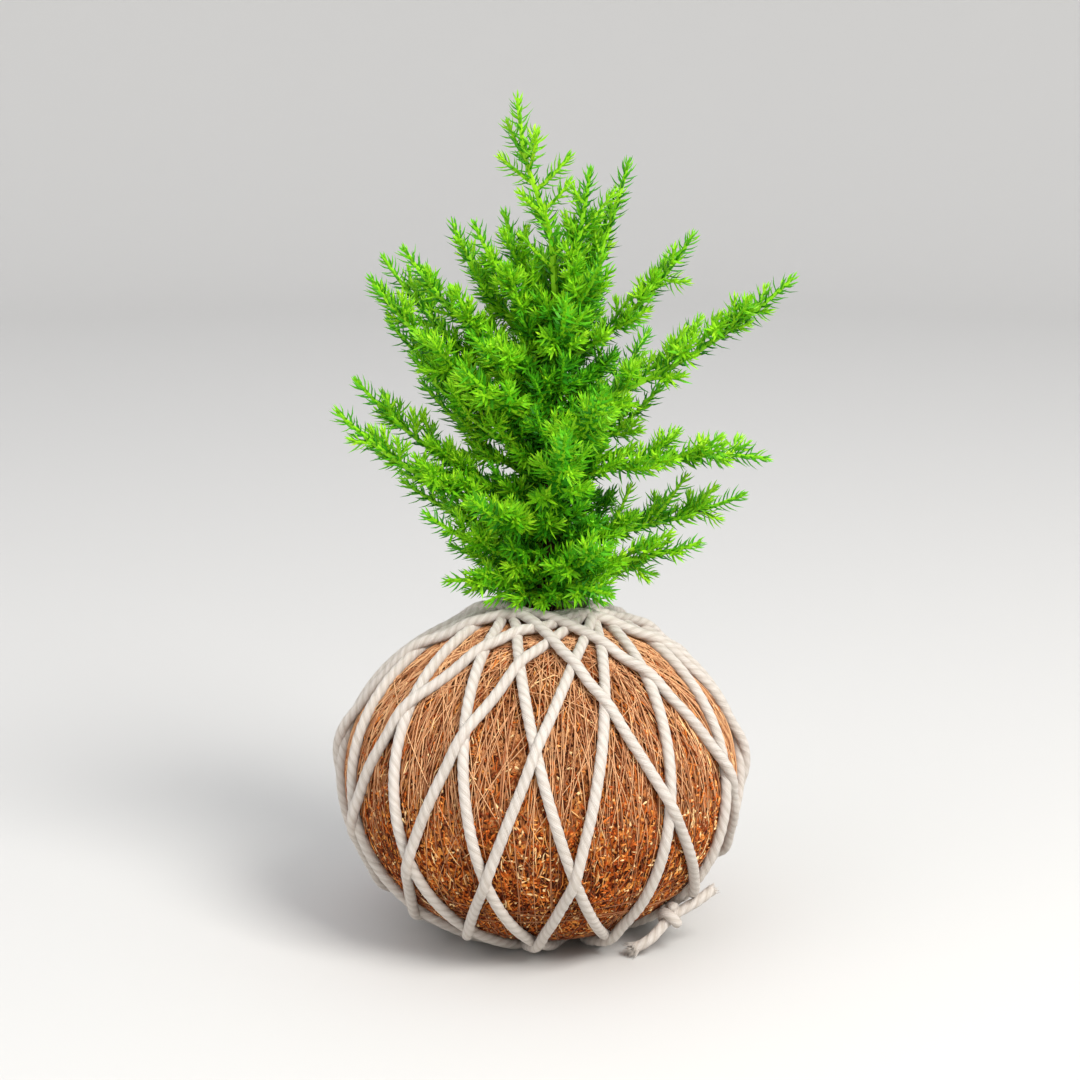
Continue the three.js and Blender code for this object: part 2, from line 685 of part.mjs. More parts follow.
// Points along a curve at about even steps, from a distance along it
function stepsAlong(curve, from, step) {
  const length = curve.getLength();
  const count = Math.max(2, Math.round((length - from) / step));
  return Array.from({ length: count + 1 }, (_, i) => {
    const reached = from + ((length - from) * i) / count;
    return curve.getPointAt(Math.min(1, reached / length));
  });
}

// The side shoots of a limb, in turn left and right, shorter towards its tip
function sideShoots(curve, random) {
  const length = curve.getLength();
  const count = clamp(Math.round(length / 34), 1, 2);
  const shoots = [];
  for (let i = 0; i < count; i += 1) {
    const f = 0.36 + (0.56 * (i + 0.3 * random())) / count;
    const root = curve.getPointAt(f);
    const along = curve.getTangentAt(f);
    const sideways = along.clone().cross(UP).normalize().multiplyScalar(i % 2 ? 1 : -1);
    const reach = 6 + 0.27 * length * (1 - f) * (0.7 + 0.6 * random());
    const lift = 0.1 + 0.5 * random();
    const way = along.clone().multiplyScalar(0.8)
      .addScaledVector(sideways, 0.62)
      .addScaledVector(UP, lift * 0.5)
      .normalize();
    const bend = root.clone().addScaledVector(way, reach * 0.5);
    const end = root.clone().addScaledVector(way, reach).addScaledVector(UP, reach * 0.16);
    shoots.push(new THREE.QuadraticBezierCurve3(root, bend, end));
  }
  return shoots;
}

// Shortest distance between two straight stretches
function apart(a, b, c, d) {
  const u = b.clone().sub(a);
  const v = d.clone().sub(c);
  const w = a.clone().sub(c);
  const [uu, uv, vv, uw, vw] = [u.dot(u), u.dot(v), v.dot(v), u.dot(w), v.dot(w)];
  const den = uu * vv - uv * uv;
  let s = den > 1e-9 ? clamp((uv * vw - vv * uw) / den, 0, 1) : 0;
  let t = vv > 1e-9 ? (uv * s + vw) / vv : 0;
  t = clamp(t, 0, 1);
  s = uu > 1e-9 ? clamp((uv * t - uw) / uu, 0, 1) : 0;
  return w.addScaledVector(u, s).addScaledVector(v, -t).length();
}

// Stretches that a spray keeps clear of, each with the number of the spray it belongs to
class Crowd {
  constructor() {
    this.items = [];
  }

  add(a, b, radius, owner) {
    this.items.push({ a, b, radius, owner, middle: a.clone().lerp(b, 0.5), half: a.distanceTo(b) / 2 });
  }

  clear(a, b, radius, owner, gap) {
    const middle = a.clone().lerp(b, 0.5);
    const half = a.distanceTo(b) / 2;
    return this.items.every((o) => {
      if (o.owner === owner) return true;
      const near = radius + o.radius + gap;
      if (middle.distanceTo(o.middle) > near + half + o.half) return true;
      return apart(a, b, o.a, o.b) > near;
    });
  }
}

const lineClear = (crowd, line, owner, gap) =>
  line.every((p, i) => i === 0 || crowd.clear(line[i - 1], p, TWIG_RADIUS[0], owner, gap));

// The three corners of a ring of a twig; each ring is turned a sixth of a turn from the last
function twigRing(line, k) {
  const last = line.length - 1;
  const along = line[Math.min(k + 1, last)].clone().sub(line[Math.max(k - 1, 0)]).normalize();
  const upright = Math.abs(along.z) > 0.95 ? new THREE.Vector3(1, 0, 0) : UP;
  const normal = upright.clone().addScaledVector(along, -upright.dot(along)).normalize();
  const side = along.clone().cross(normal);
  const radius = TWIG_RADIUS[0] + ((TWIG_RADIUS[1] - TWIG_RADIUS[0]) * k) / last;
  return [0, 1, 2].map((i) => {
    const angle = ((2 * i + (k % 2)) * Math.PI) / 3;
    return line[k].clone()
      .addScaledVector(normal, radius * Math.cos(angle))
      .addScaledVector(side, radius * Math.sin(angle));
  });
}

// The faces between two rings of a twig are triangles. Three of them stand on the lower ring,
// and each of these is the foot of a needle.
function feet(rings, k) {
  return [0, 1, 2].map((i) => {
    const j = (i + 1) % 3;
    return [rings[k][i], rings[k][j], rings[k + 1][k % 2 ? j : i]];
  });
}

function needleTip(foot, line, k, length) {
  const along = line[k + 1].clone().sub(line[k]).normalize();
  const middle = line[k].clone().lerp(line[k + 1], 0.4);
  const centre = foot[0].clone().add(foot[1]).multiplyScalar(0.5);
  const out = centre.sub(line[k]).normalize();
  return middle.addScaledVector(out, TWIG_RADIUS[1])
    .addScaledVector(along, length * Math.cos(rad(NEEDLE_LEAN)))
    .addScaledVector(out, length * Math.sin(rad(NEEDLE_LEAN)));
}

// A twig: three-cornered rings with a needle on every foot that has a tip
function twig(line, rings, tips) {
  const points = rings.flat();
  const faces = [];
  const last = line.length - 1;
  for (let k = 0; k < last; k += 1) {
    for (let i = 0; i < 3; i += 1) {
      const j = (i + 1) % 3;
      const over = k % 2 ? j : i;
      const [a, b, c] = [3 * k + i, 3 * k + j, 3 * (k + 1) + over];
      if (tips[k][i]) {
        points.push(tips[k][i]);
        const n = points.length - 1;
        faces.push([a, b, n], [b, c, n], [c, a, n]);
      } else {
        faces.push([a, b, c]);
      }
      faces.push([b, 3 * (k + 1) + ((over + 1) % 3), c]);
    }
  }
  faces.push([0, 2, 1]);
  points.push(line[last].clone().addScaledVector(line[last].clone().sub(line[last - 1]).normalize(), 2.6));
  const n = points.length - 1;
  for (let i = 0; i < 3; i += 1) faces.push([3 * last + i, 3 * last + ((i + 1) % 3), n]);
  return solidOf(meshOf(points, faces));
}

// The sprays: first all their twigs, each clear of the others, and then the needles that have room
function sprays() {
  const random = randomFrom(SHOOT_SEED);
  const twigs = new Crowd();
  for (let z = 60; z < 172; z += 8) {
    const [low, high] = [trunkAt(z), trunkAt(z + 8)];
    twigs.add(low.middle.clone().setZ(z), high.middle.clone().setZ(z + 8), low.radius, "trunk");
  }
  CORD_TURNS.forEach((_, k) => {
    const line = turnLine(k, -0.8, 0.8);
    for (let i = 1; i < line.length; i += 2) twigs.add(line[i - 1], line[i], CORD_RADIUS + 0.3, "cord");
  });
  const leader = new THREE.CatmullRomCurve3(LEADER_LINE.map(vec), false, "centripetal");
  const limbs = [{ name: "leader", curve: leader, start: 0 }];
  [...OUTLINE_LIMBS, ...fillLimbs()].forEach((limb, k) => {
    const curve = limbLine(limb);
    limbs.push({ name: "spray_" + String(k + 1).padStart(2, "0"), curve, start: clearOfTrunk(curve) });
  });
  limbs.forEach((limb) => {
    const main = stepsAlong(limb.curve, limb.start, WHORL_STEP);
    limb.lines = [main];
    main.forEach((p, i) => i && twigs.add(main[i - 1], p, TWIG_RADIUS[0], limb.name));
  });
  limbs.forEach((limb) => {
    limb.sides = sideShoots(limb.curve, random);
    limb.sides.forEach((curve) => {
      const line = stepsAlong(curve, 0, WHORL_STEP);
      if (!lineClear(twigs, line, limb.name, TWIG_APART - 2 * TWIG_RADIUS[0])) return;
      limb.lines.push(line);
      line.forEach((p, i) => i && twigs.add(line[i - 1], p, TWIG_RADIUS[0], limb.name));
    });
  });
  return limbs.map((limb) => ({ name: limb.name, solid: leafy(limb, twigs) }));
}

// One spray: each twig with the needles that touch no other spray, joined in one body
function leafy(limb, crowd) {
  const bodies = limb.lines.map((line) => {
    const last = line.length - 1;
    const rings = line.map((_, k) => twigRing(line, k));
    const tips = Array.from({ length: last }, (_, k) => {
      const young = clamp((last - k) / 3, 0.6, 1);
      return feet(rings, k).map((foot) => {
        const sizes = [1, 0.6].map((share) => needleTip(foot, line, k, NEEDLE_LENGTH * young * share));
        const tip = sizes.find((t) => foot.every((f) => crowd.clear(f, t, NEEDLE_EDGE, limb.name, TOUCH_GAP)));
        if (tip) foot.forEach((f) => crowd.add(f, tip, NEEDLE_EDGE, limb.name));
        return tip;
      });
    });
    return twig(line, rings, tips);
  });
  return joined(bodies, JOIN_TOLERANCE);
}

const material = (color, roughness) => new THREE.MeshStandardMaterial({ color, roughness, metalness: 0 });

function named(name, geometry, finish) {
  const mesh = new THREE.Mesh(geometry, finish);
  mesh.name = name;
  return mesh;
}

const kokedama = new THREE.Group();
kokedama.add(named("soil_core", soilCore(), material(0x33241a, 0.95)));
kokedama.add(named("coir_shell", coirShell(), material(0x9a5a31, 0.95)));
kokedama.add(named("binding_thread", bindingThread(), material(0x7d5233, 0.85)));
kokedama.add(named("cotton_cord", cottonCord(), material(0xece6da, 0.9)));
kokedama.add(named("trunk", trunk(), material(0x3c2a1e, 0.9)));
sprays().forEach(({ name, solid }) => {
  kokedama.add(named(name, geometryOf(solid), material(0x4fa31d, 0.6)));
});

export default kokedama;
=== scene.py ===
"""A kokedama: a small needle-leaved conifer in a ball of soil and coir fibre that is bound with thin
brown thread and wound with white cotton cord. It rests on a small flat spot.

X is to the right of the front, Y away from it and Z up. Lengths are millimetres up to the point
where a mesh is made, and metres in it.
"""
import math

import bpy
import numpy as np
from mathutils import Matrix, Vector


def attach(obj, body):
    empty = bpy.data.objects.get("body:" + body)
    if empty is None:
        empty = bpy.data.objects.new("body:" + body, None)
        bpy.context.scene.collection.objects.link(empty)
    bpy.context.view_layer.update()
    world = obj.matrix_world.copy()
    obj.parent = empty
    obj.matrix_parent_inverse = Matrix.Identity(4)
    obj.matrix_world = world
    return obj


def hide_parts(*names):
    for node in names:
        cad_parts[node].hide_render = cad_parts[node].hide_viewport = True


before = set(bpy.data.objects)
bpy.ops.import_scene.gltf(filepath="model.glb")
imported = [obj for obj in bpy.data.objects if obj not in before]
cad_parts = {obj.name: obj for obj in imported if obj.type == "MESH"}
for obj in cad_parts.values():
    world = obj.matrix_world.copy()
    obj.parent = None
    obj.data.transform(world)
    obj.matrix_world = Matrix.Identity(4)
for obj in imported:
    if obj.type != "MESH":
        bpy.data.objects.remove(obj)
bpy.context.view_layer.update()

MM = 0.001

# Camera at the photograph's angle: its place, how far it looks down, and its focal length as a
# share of the picture's width
CAMERA_PLACE = (-0.27, -665.74, 258.81)
CAMERA_DOWN = 12.853
CAMERA_FOCAL_SHARE = 2576 / 1080
SENSOR_WIDTH = 36

# The floor is flat to its reach, and then curves up into a wall, in metres
FLOOR_REACH = 1.25
COVE = 0.5
WALL_TOP = 0.95

# The coir ball is a flattened ball that stands on a small flat spot
BALL_RADIUS = 51.5
BALL_HALF_HEIGHT = 42.5
BALL_CENTRE = 42.5
REST_SPOT = 10
REST_SPOT_SLOPE = 1.5
COIR_UNDERSIDE = 4.6
COIR_MOUTH = 9.5
COIR_WALL = 5
COIR_PROUD = 0.9
COIR_ROWS = 96
COIR_COLUMNS = 330

# Relief of the coir: how high its ribs stand, and the size and height of its lumps and its bristle
RIB_HEIGHT = 0.14
LUMP_SIZE = 5
LUMP_HEIGHT = 0.3
BRISTLE_SIZE = 1.6
BRISTLE_HEIGHT = 0.32
COIR_SEED = 5

# Soil
SOIL_TOP = 86.2
SOIL_NECK = 8.9
STEM_HOLE = 3.3
STEM_HOLE_FLOOR = 60
SOIL_COLUMNS = 96
SOIL_GAP = 0.6

# Fine fibres and chips on the coir
FIBRE_COUNT = 4200
CHIP_COUNT = 13500
CHIPS_BELOW = 44
CHIPS_FADE = 14

# Thin brown thread: many turns from pole to pole. The lean goes on by seven steps from turn to turn,
# and the spreads say how far from the axis the turns pass over the top and below.
THREAD_TURNS = 310
THREAD_RADIUS = 0.145
THREAD_FLOOR = 4.1
THREAD_STRIDE = 7
THREAD_TOP_SPREAD = 14
THREAD_BOTTOM_SPREAD = 11
THREAD_SINKS = 1.7

# Belts of thread low on the ball: middle height, rise and fall, and where they are highest
THREAD_BELTS = [(19, 6, -20), (16.5, 5, -30), (13.5, 3.5, -60), (21, 4, 150)]
THREAD_SAMPLES = 84

# Cotton cord
CORD_RADIUS = 1.48
CORD_LIFT = 0.85
CORD_FLOOR = 1.6
CORD_STACK = 2.2
PRESS_FREE = 1.6
PRESS_MORE = 1.1
PRESS_EASE = 3
CORD_SLOPE = 0.22
SLOPE_SAMPLES = 20
STACK_FROM = 1.9
STACK_FULL = 7
CORD_SAMPLES = 144
CORD_STEP = 0.95
CORD_LAY = 9
CORD_COLUMNS = 12
CORD_SMOOTHINGS = 4
CORD_SWELL = 0.02
CORD_SWELL_SIZE = 6
PLY_GROOVE = 0.08
# How dark the painted shade in the grooves between the plies is
GROOVE_SHADE = 0.55
STEM_CLEARANCE = 8
UNDER_CLEARANCE = 13
TURN_SHIFT = 0.5
TURN_SAMPLES = 900

# The first turn starts this far past the lowest point, and the last one ends this far before it, in
# radians. From there the cord runs over the ball to the tie, in short steps and a little lifted.
CORD_STARTS = 0.3
CORD_ENDS = 0.1
TIE_STEPS = 40
TIE_LIFT = 0.6

# Each turn of the cord is one plane cut of the ball: the side that it leans to over the top, in
# degrees, how far from the axis it passes there, and how far from it below the ball. The turns are
# in the order of winding.
CORD_TURNS = [
    (177, 6, 20),
    (158, 7, 12),
    (135, 9, 12),
    (112, 10, 12),
    (92, 8, 10),
    (52, 16, -6),
    (29, 14, -1),
    (10, 13, 9),
    (352, 14, 18),
    (331, 12, 22),
    (304, 11, 22),
    (271, 6, 9),
    (229, 6, 37),
    (203, 7, 34),
]

# The tie at the lower right of the front
KNOT = (34.6, -22.8, 9.8)
TAIL_UP = [(45.9, -18.2, 15.8), (41.2, -20.2, 13.0)]
TAIL_DOWN = [(29.0, -26.2, 5.0), (24.4, -26.6, 2.3)]
KNOT_WRAPS = 1.35
KNOT_RADIUS = 2.1
KNOT_PITCH = 2.6
KNOT_POINTS = 70
FUZZ_COUNT = 2600
FUZZ_RADIUS = 0.026
FRAY_COUNT = 150
FRAY_RADIUS = 0.1
FRAY_UP = 1.3
FRAY_DOWN = 3.4
HAIR_FLOOR = 0.15

# Trunk and leader
TRUNK_LINE = [(0, 0, 60.4), (0, 0, 84), (2.4, 0, 104), (3.4, 0, 124), (4.2, 0, 150), (3.6, 0, 172)]
TRUNK_FOOT = 86
TRUNK_BASE_RADIUS = 3
TRUNK_TOP_RADIUS = 1.2
TRUNK_COLUMNS = 20
TRUNK_TOP = 172.3
TRUNK_STEP = 0.8
TRUNK_SMOOTHINGS = 6
LEADER_LINE = [(3.6, 0, 172.4), (2.4, 0, 187), (-1, 0, 198), (-4.2, 0, 208), (-6.1, 0, 222.6)]

# The leader's side shoots: share of its length where each leaves, and its tip
LEADER_SHOOTS = [
    (0.57, (7.2, -1, 208)),
    (0.47, (7.4, 3, 201)),
    (0.6, (-10.4, 1, 207.5)),
    (0.45, (-5.4, -3, 199)),
    (0.72, (-1.4, 1, 214.5)),
    (0.7, (-8.6, 4, 216)),
    (0.66, (-1, -6, 214)),
    (0.36, (-3, 6, 196)),
    (0.33, (1, -8, 195)),
    (0.25, (9, -3, 190)),
    (0.2, (-5, -4, 188)),
]

# Single side shoots on the limbs of the right side: where each leaves its limb, and its tip
EXTRA_SHOOTS = [
    ((29, 2, 111), (38, -2, 124.5)),
    ((17, -2, 108), (23.5, -4, 122)),
    ((23, -6, 105.5), (34, -9, 111)),
    ((36, 3, 113), (46, 1, 121)),
    ((8.5, -3, 187), (18.8, -2, 199)),
    ((30, -2, 177), (37.5, -3, 176)),
    ((50.5, -6, 169.5), (58.5, -7, 168.8)),
]

# Limbs that make the outline: height where each leaves the trunk, its tip, and how far it arches
OUTLINE_LIMBS = [
    (165, (12.5, -5, 204.5), 0.35),
    (160, (22.5, 3, 206), 0.35),
    (154, (39, -3, 188), 0.3),
    (140, (64.5, -8, 177.5), 0.35),
    (129, (31.8, 9, 147), 0.2),
    (122, (58.5, -9, 130.7), 1.3),
    (106, (53.5, 5, 118), 0.3),
    (99, (41.5, -10, 108.5), 0.3),
    (95.5, (26.5, 8, 98.5), 0.7),
    (96, (18, -22, 97.5), 0.8),
    (162, (-9.5, 4, 193), 0.3),
    (158, (-17, -6, 191), 0.4),
    (152, (-23, 6, 190), 0.35),
    (147, (-35, -7, 184.8), 0.35),
    (142, (-41, 7, 180.8), 0.3),
    (137, (-43.5, -8, 177.2), 0.3),
    (132, (-40, 9, 164), 0.3),
    (127, (-33, -5, 156.7), 0.3),
    (120, (-31.5, 8, 148), 0.4),
    (115, (-48, -3, 150), 0.3),
    (110, (-52.5, -12, 143.5), 0.3),
    (105, (-36.5, 5, 121.8), 0.3),
    (100, (-30, -13, 117), 0.3),
    (96.5, (-24, 10, 103), 0.5),
    (93.5, (-24.5, -13, 99), 0.9),
]

# Limbs of the front and the back follow a rule
FILL_LIMBS = 16
FILL_LOWEST = 98
FILL_STEP = 5
FILL_SPREAD = 105
FILL_RISE = (0.42, 0.95)
FILL_SEED = 71
SHOOT_SEED = 1207

# Needles and the fine shoots that carry them
MOST_WHORLS = 200
WHORL_STEP = 0.95
WHORL_SPREAD = 0.03
NEEDLE_LENGTH = 4.5
NEEDLE_WIDTH = 0.82
NEEDLE_KEEL = 0.3
NEEDLE_CURVE = 0.2

# Needles lean away from their shoot, in degrees: at its tip, more past the tuft, and more when old
LEAN_AT_TIP = 24
LEAN_PAST_TUFT = 32
LEAN_WHEN_OLD = 8
LEAN_SPREAD = 8
TUFT_LENGTH = 4.5
OLD_LENGTH = 28

# Shoots of each rank: radius at the foot and at the tip, age, and, where it is the same for all,
# where along it the needles start
LIMB_SHOOT = (0.9, 0.5, 0.25)
LEADER_SHOOT = (1.0, 0.55, 0.1, 3.0)
NECK_SHOOT = (0.6, 0.4, 0.2, TRUNK_BASE_RADIUS + 1)
INNER_SHOOT = (0.6, 0.4, 0.45)
SIDE_SHOOT = (0.6, 0.4, 0.12, 0.8)
SIDE_FINE_SHOOT = (0.42, 0.3, 0.0, 0.4)
FINE_SHOOT = (0.5, 0.35, 0.05, 0.5)
TINY_SHOOT = (0.38, 0.28, 0.0, 0.3)
LEADER_SIDE_SHOOT = (0.55, 0.4, 0.0, 0.5)
NECK_FINE_SHOOT = (0.42, 0.28, 0.05, 0.4)
INNER_FINE_SHOOT = (0.42, 0.28, 0.3, 0.4)
EXTRA_SHOOT = (0.5, 0.35, 0.0, 0.5)

# How shoots are spaced along a line: the first one, the step, the longest shoot and the bare tip
SIDE_SPACING = (2.6, 3.2, 6, 4.5)
TINY_SPACING = (2.2, 2.6, 5, 4)
NECK_SPACING = (5, 3.2, 6, 4.5)
INNER_SPACING = (4, 3.0, 6.5, 4.5)
FIRST_FINE_SHARE = 0.12
FINE_SHOOT_STEP = 3.3
LONGEST_FINE = 13
BARE_TIP = 8
BRANCHES_FROM = 7

INNER_SHOOTS = 116
INNER_LOWEST = 90
INNER_HIGHEST = 167
NECK_SHOOTS = 12
SHOOT_CLEARANCE = 3.2
CORD_ROOM = 5
GOLDEN_ANGLE = 2.39996

# Room: lamps with place, size, power and colour
FLOOR_COLUMNS = 96
FLOOR_COLOUR = (0.6, 0.59, 0.57, 1)
SKY_COLOUR = (0.93, 0.95, 1.0, 1)
KEY_LAMP = ((0.6, -0.7, 0.95), 0.55, 19, (1, 0.985, 0.955))
FILL_LAMP = ((-0.8, -0.6, 0.5), 0.8, 2.5, (0.97, 0.98, 1))

WHITE = (1, 1, 1, 1)
BLACK = (0, 0, 0, 1)
GREY = (0.5, 0.5, 0.5, 1)
UP = np.array([0.0, 0.0, 1.0])
ACROSS = np.array([1.0, 0.0, 0.0])


def smooth(low, high, x):
    """Rises from 0 at low to 1 at high with level ends."""
    t = np.clip((x - low) / (high - low), 0, 1)
    return t * t * (3 - 2 * t)


def unit(vectors):
    """Vectors over their lengths."""
    return vectors / np.maximum(np.linalg.norm(vectors, axis=-1, keepdims=True), 1e-9)


def across(vectors, axis):
    """The part of each vector that is square to its axis, as a unit vector."""
    return unit(vectors - (vectors * axis).sum(-1, keepdims=True) * axis)


def random_from(seed):
    """Repeatable numbers from 0 to 1, by 32-bit mixing of a counter."""
    state = seed

    def draw():
        """The next number."""
        nonlocal state
        state = (state + 0x6D2B79F5) & 0xFFFFFFFF
        t = ((state ^ (state >> 15)) * (state | 1)) & 0xFFFFFFFF
        t ^= (t + (((t ^ (t >> 7)) * (t | 61)) & 0xFFFFFFFF)) & 0xFFFFFFFF
        return (t ^ (t >> 14)) / 4294967296

    return draw


def lumps(points, size, seed):
    """Smooth noise from -1 to 1: random values on a lattice of cubes, blended inside each cube."""
    spot = np.asarray(points) / size
    cell = np.floor(spot).astype(np.int64)
    f = spot - cell
    f = f * f * (3 - 2 * f)
    total = np.zeros(len(spot))
    for corner in np.ndindex(2, 2, 2):
        at = cell + corner
        key = at @ np.array([73856093, 19349663, 83492791]) + seed * 668265263
        value = np.modf(np.abs(np.sin(key % 1000003 * 0.61803) * 43758.5453))[0] * 2 - 1
        weight = np.prod(np.where(corner, f, 1 - f), axis=1)
        total += weight * value
    return total


def piece(name, points, faces, finish, slot, smooth_faces=True, uv=None, **attributes):
    """An object made from points in millimetres and lists of faces with equally many corners."""
    groups = [np.asarray(group, np.int32) for group in faces if len(group)]
    corners = np.concatenate([group.ravel() for group in groups])
    sizes = np.concatenate([np.full(len(group), group.shape[1]) for group in groups])
    data = bpy.data.meshes.new(name)
    data.vertices.add(len(points))
    data.vertices.foreach_set("co", (np.asarray(points) * MM).astype(np.float32).ravel())
    data.loops.add(len(corners))
    data.loops.foreach_set("vertex_index", corners)
    data.polygons.add(len(sizes))
    data.polygons.foreach_set("loop_start", np.concatenate([[0], np.cumsum(sizes)[:-1]]).astype(np.int32))
    data.update(calc_edges=True)
    data.polygons.foreach_set("use_smooth", np.full(len(sizes), smooth_faces))
    if uv is not None:
        layer = data.uv_layers.new(name="UVMap")
        layer.data.foreach_set("uv", np.asarray(uv, np.float32).ravel())
    for key, values in attributes.items():
        made = data.attributes.new(key, "FLOAT", "POINT")
        made.data.foreach_set("value", np.asarray(values, np.float32))
    data.materials.append(finish)
    thing = bpy.data.objects.new(name, data)
    bpy.context.scene.collection.objects.link(thing)
    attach(thing, "root")
    return thing


def circle(count):
    """Angles of evenly spaced points round a circle."""
    return 2 * np.pi * np.arange(count) / count


def smoothed(line, times):
    """A line whose inner points are averaged with their neighbours, by weights of one, two and one,
    a number of times."""
    for _ in range(times):
        line[1:-1] = (line[:-2] + 2 * line[1:-1] + line[2:]) / 4
    return line


def grid_faces(rows, columns):
    """Quads between the points of a grid whose columns close on themselves."""
    i = np.arange(rows - 1)[:, None] * columns
    j = np.arange(columns)[None, :]
    k = (j + 1) % columns
    return np.stack([i + j, i + k, i + k + columns, i + j + columns], axis=-1).reshape(-1, 4)


def grid_uv(distances, columns):
    """One u round the columns, and the distance along the rows in metres as v, for each face corner."""
    v = np.asarray(distances) * MM
    rows = len(v)
    u = np.arange(columns) / columns
    low_u = np.broadcast_to(u, (rows - 1, columns))
    high_u = low_u + 1 / columns
    low_v = np.broadcast_to(v[:-1, None], (rows - 1, columns))
    high_v = np.broadcast_to(v[1:, None], (rows - 1, columns))
    corners = [(low_u, low_v), (high_u, low_v), (high_u, high_v), (low_u, high_v)]
    return np.stack([np.stack(c, axis=-1) for c in corners], axis=2).reshape(-1, 2)


def distances_along(line):
    """Distance of each point of a line from its start."""
    steps = np.linalg.norm(np.diff(line, axis=0), axis=1)
    return np.concatenate([[0], np.cumsum(steps)])


def along(line, distances):
    """Points of a line at distances from its start."""
    reached = distances_along(line)
    return np.stack([np.interp(distances, reached, line[:, c]) for c in range(3)], axis=-1)


def even_steps(line, step):
    """A line's points at even distances."""
    length = distances_along(line)[-1]
    count = max(2, int(round(length / step)))
    return along(line, np.linspace(0, length, count + 1))


def swept(line, radii, columns, out=None, turn=None):
    """A tube: circles of points round a line, each scaled by its radius. The first column faces the
    way given by out, and turn rotates the circles. Radii have one value for each point, or one for
    each point and column."""
    way = unit(np.gradient(line, axis=0))
    facing = np.broadcast_to(UP + 0.02 * ACROSS if out is None else out, line.shape)
    normal = across(facing, way)
    side = np.cross(way, normal)
    angle = circle(columns)[None, :] + (np.zeros((len(line), 1)) if turn is None else turn[:, None])
    radii = np.broadcast_to(np.reshape(radii, (len(line), -1)), angle.shape)
    rim = np.cos(angle)[..., None] * normal[:, None] + np.sin(angle)[..., None] * side[:, None]
    return (line[:, None] + radii[..., None] * rim).reshape(-1, 3)


def end_fans(count, columns):
    """Triangles that close the first and the last of a tube's rings, each on one of the two points
    that come after the rings' own."""
    j = np.arange(columns)
    k = (j + 1) % columns
    top = count - columns
    start = np.stack([np.full(columns, count), k, j], axis=1)
    stop = np.stack([np.full(columns, count + 1), top + j, top + k], axis=1)
    return np.concatenate([start, stop])


def capped(points, columns):
    """A tube's points and faces, with a fan of triangles closing each end on an added middle point."""
    ends = np.array([points[:columns].mean(0), points[-columns:].mean(0)])
    quads = grid_faces(len(points) // columns, columns)
    return np.concatenate([points, ends]), quads, end_fans(len(points), columns)


class Parts:
    """Points, faces and attributes of many small shapes, gathered into one piece."""

    def __init__(self):
        self.points = []
        self.quads = []
        self.triangles = []
        self.values = {}
        self.count = 0

    def add(self, points, quads=(), triangles=(), **values):
        """Adds shapes, with values for each point or one for all of them."""
        self.points.append(points)
        if len(quads):
            self.quads.append(np.asarray(quads) + self.count)
        if len(triangles):
            self.triangles.append(np.asarray(triangles) + self.count)
        for key, value in values.items():
            self.values.setdefault(key, []).append(np.broadcast_to(value, len(points)))
        self.count += len(points)

    def make(self, name, finish, slot, smooth_faces=True):
        """The piece made of all that was added."""
        faces = [np.concatenate(group) for group in (self.quads, self.triangles) if group]
        values = {key: np.concatenate(value) for key, value in self.values.items()}
        return piece(name, np.concatenate(self.points), faces, finish, slot, smooth_faces, **values)


# The finishes

def srgb(red, green, blue):
    """A colour given as it is seen, from 0 to 255, as linear light."""
    seen = [value / 255 for value in (red, green, blue)]
    return tuple(c / 12.92 if c < 0.04045 else ((c + 0.055) / 1.055) ** 2.4 for c in seen) + (1,)


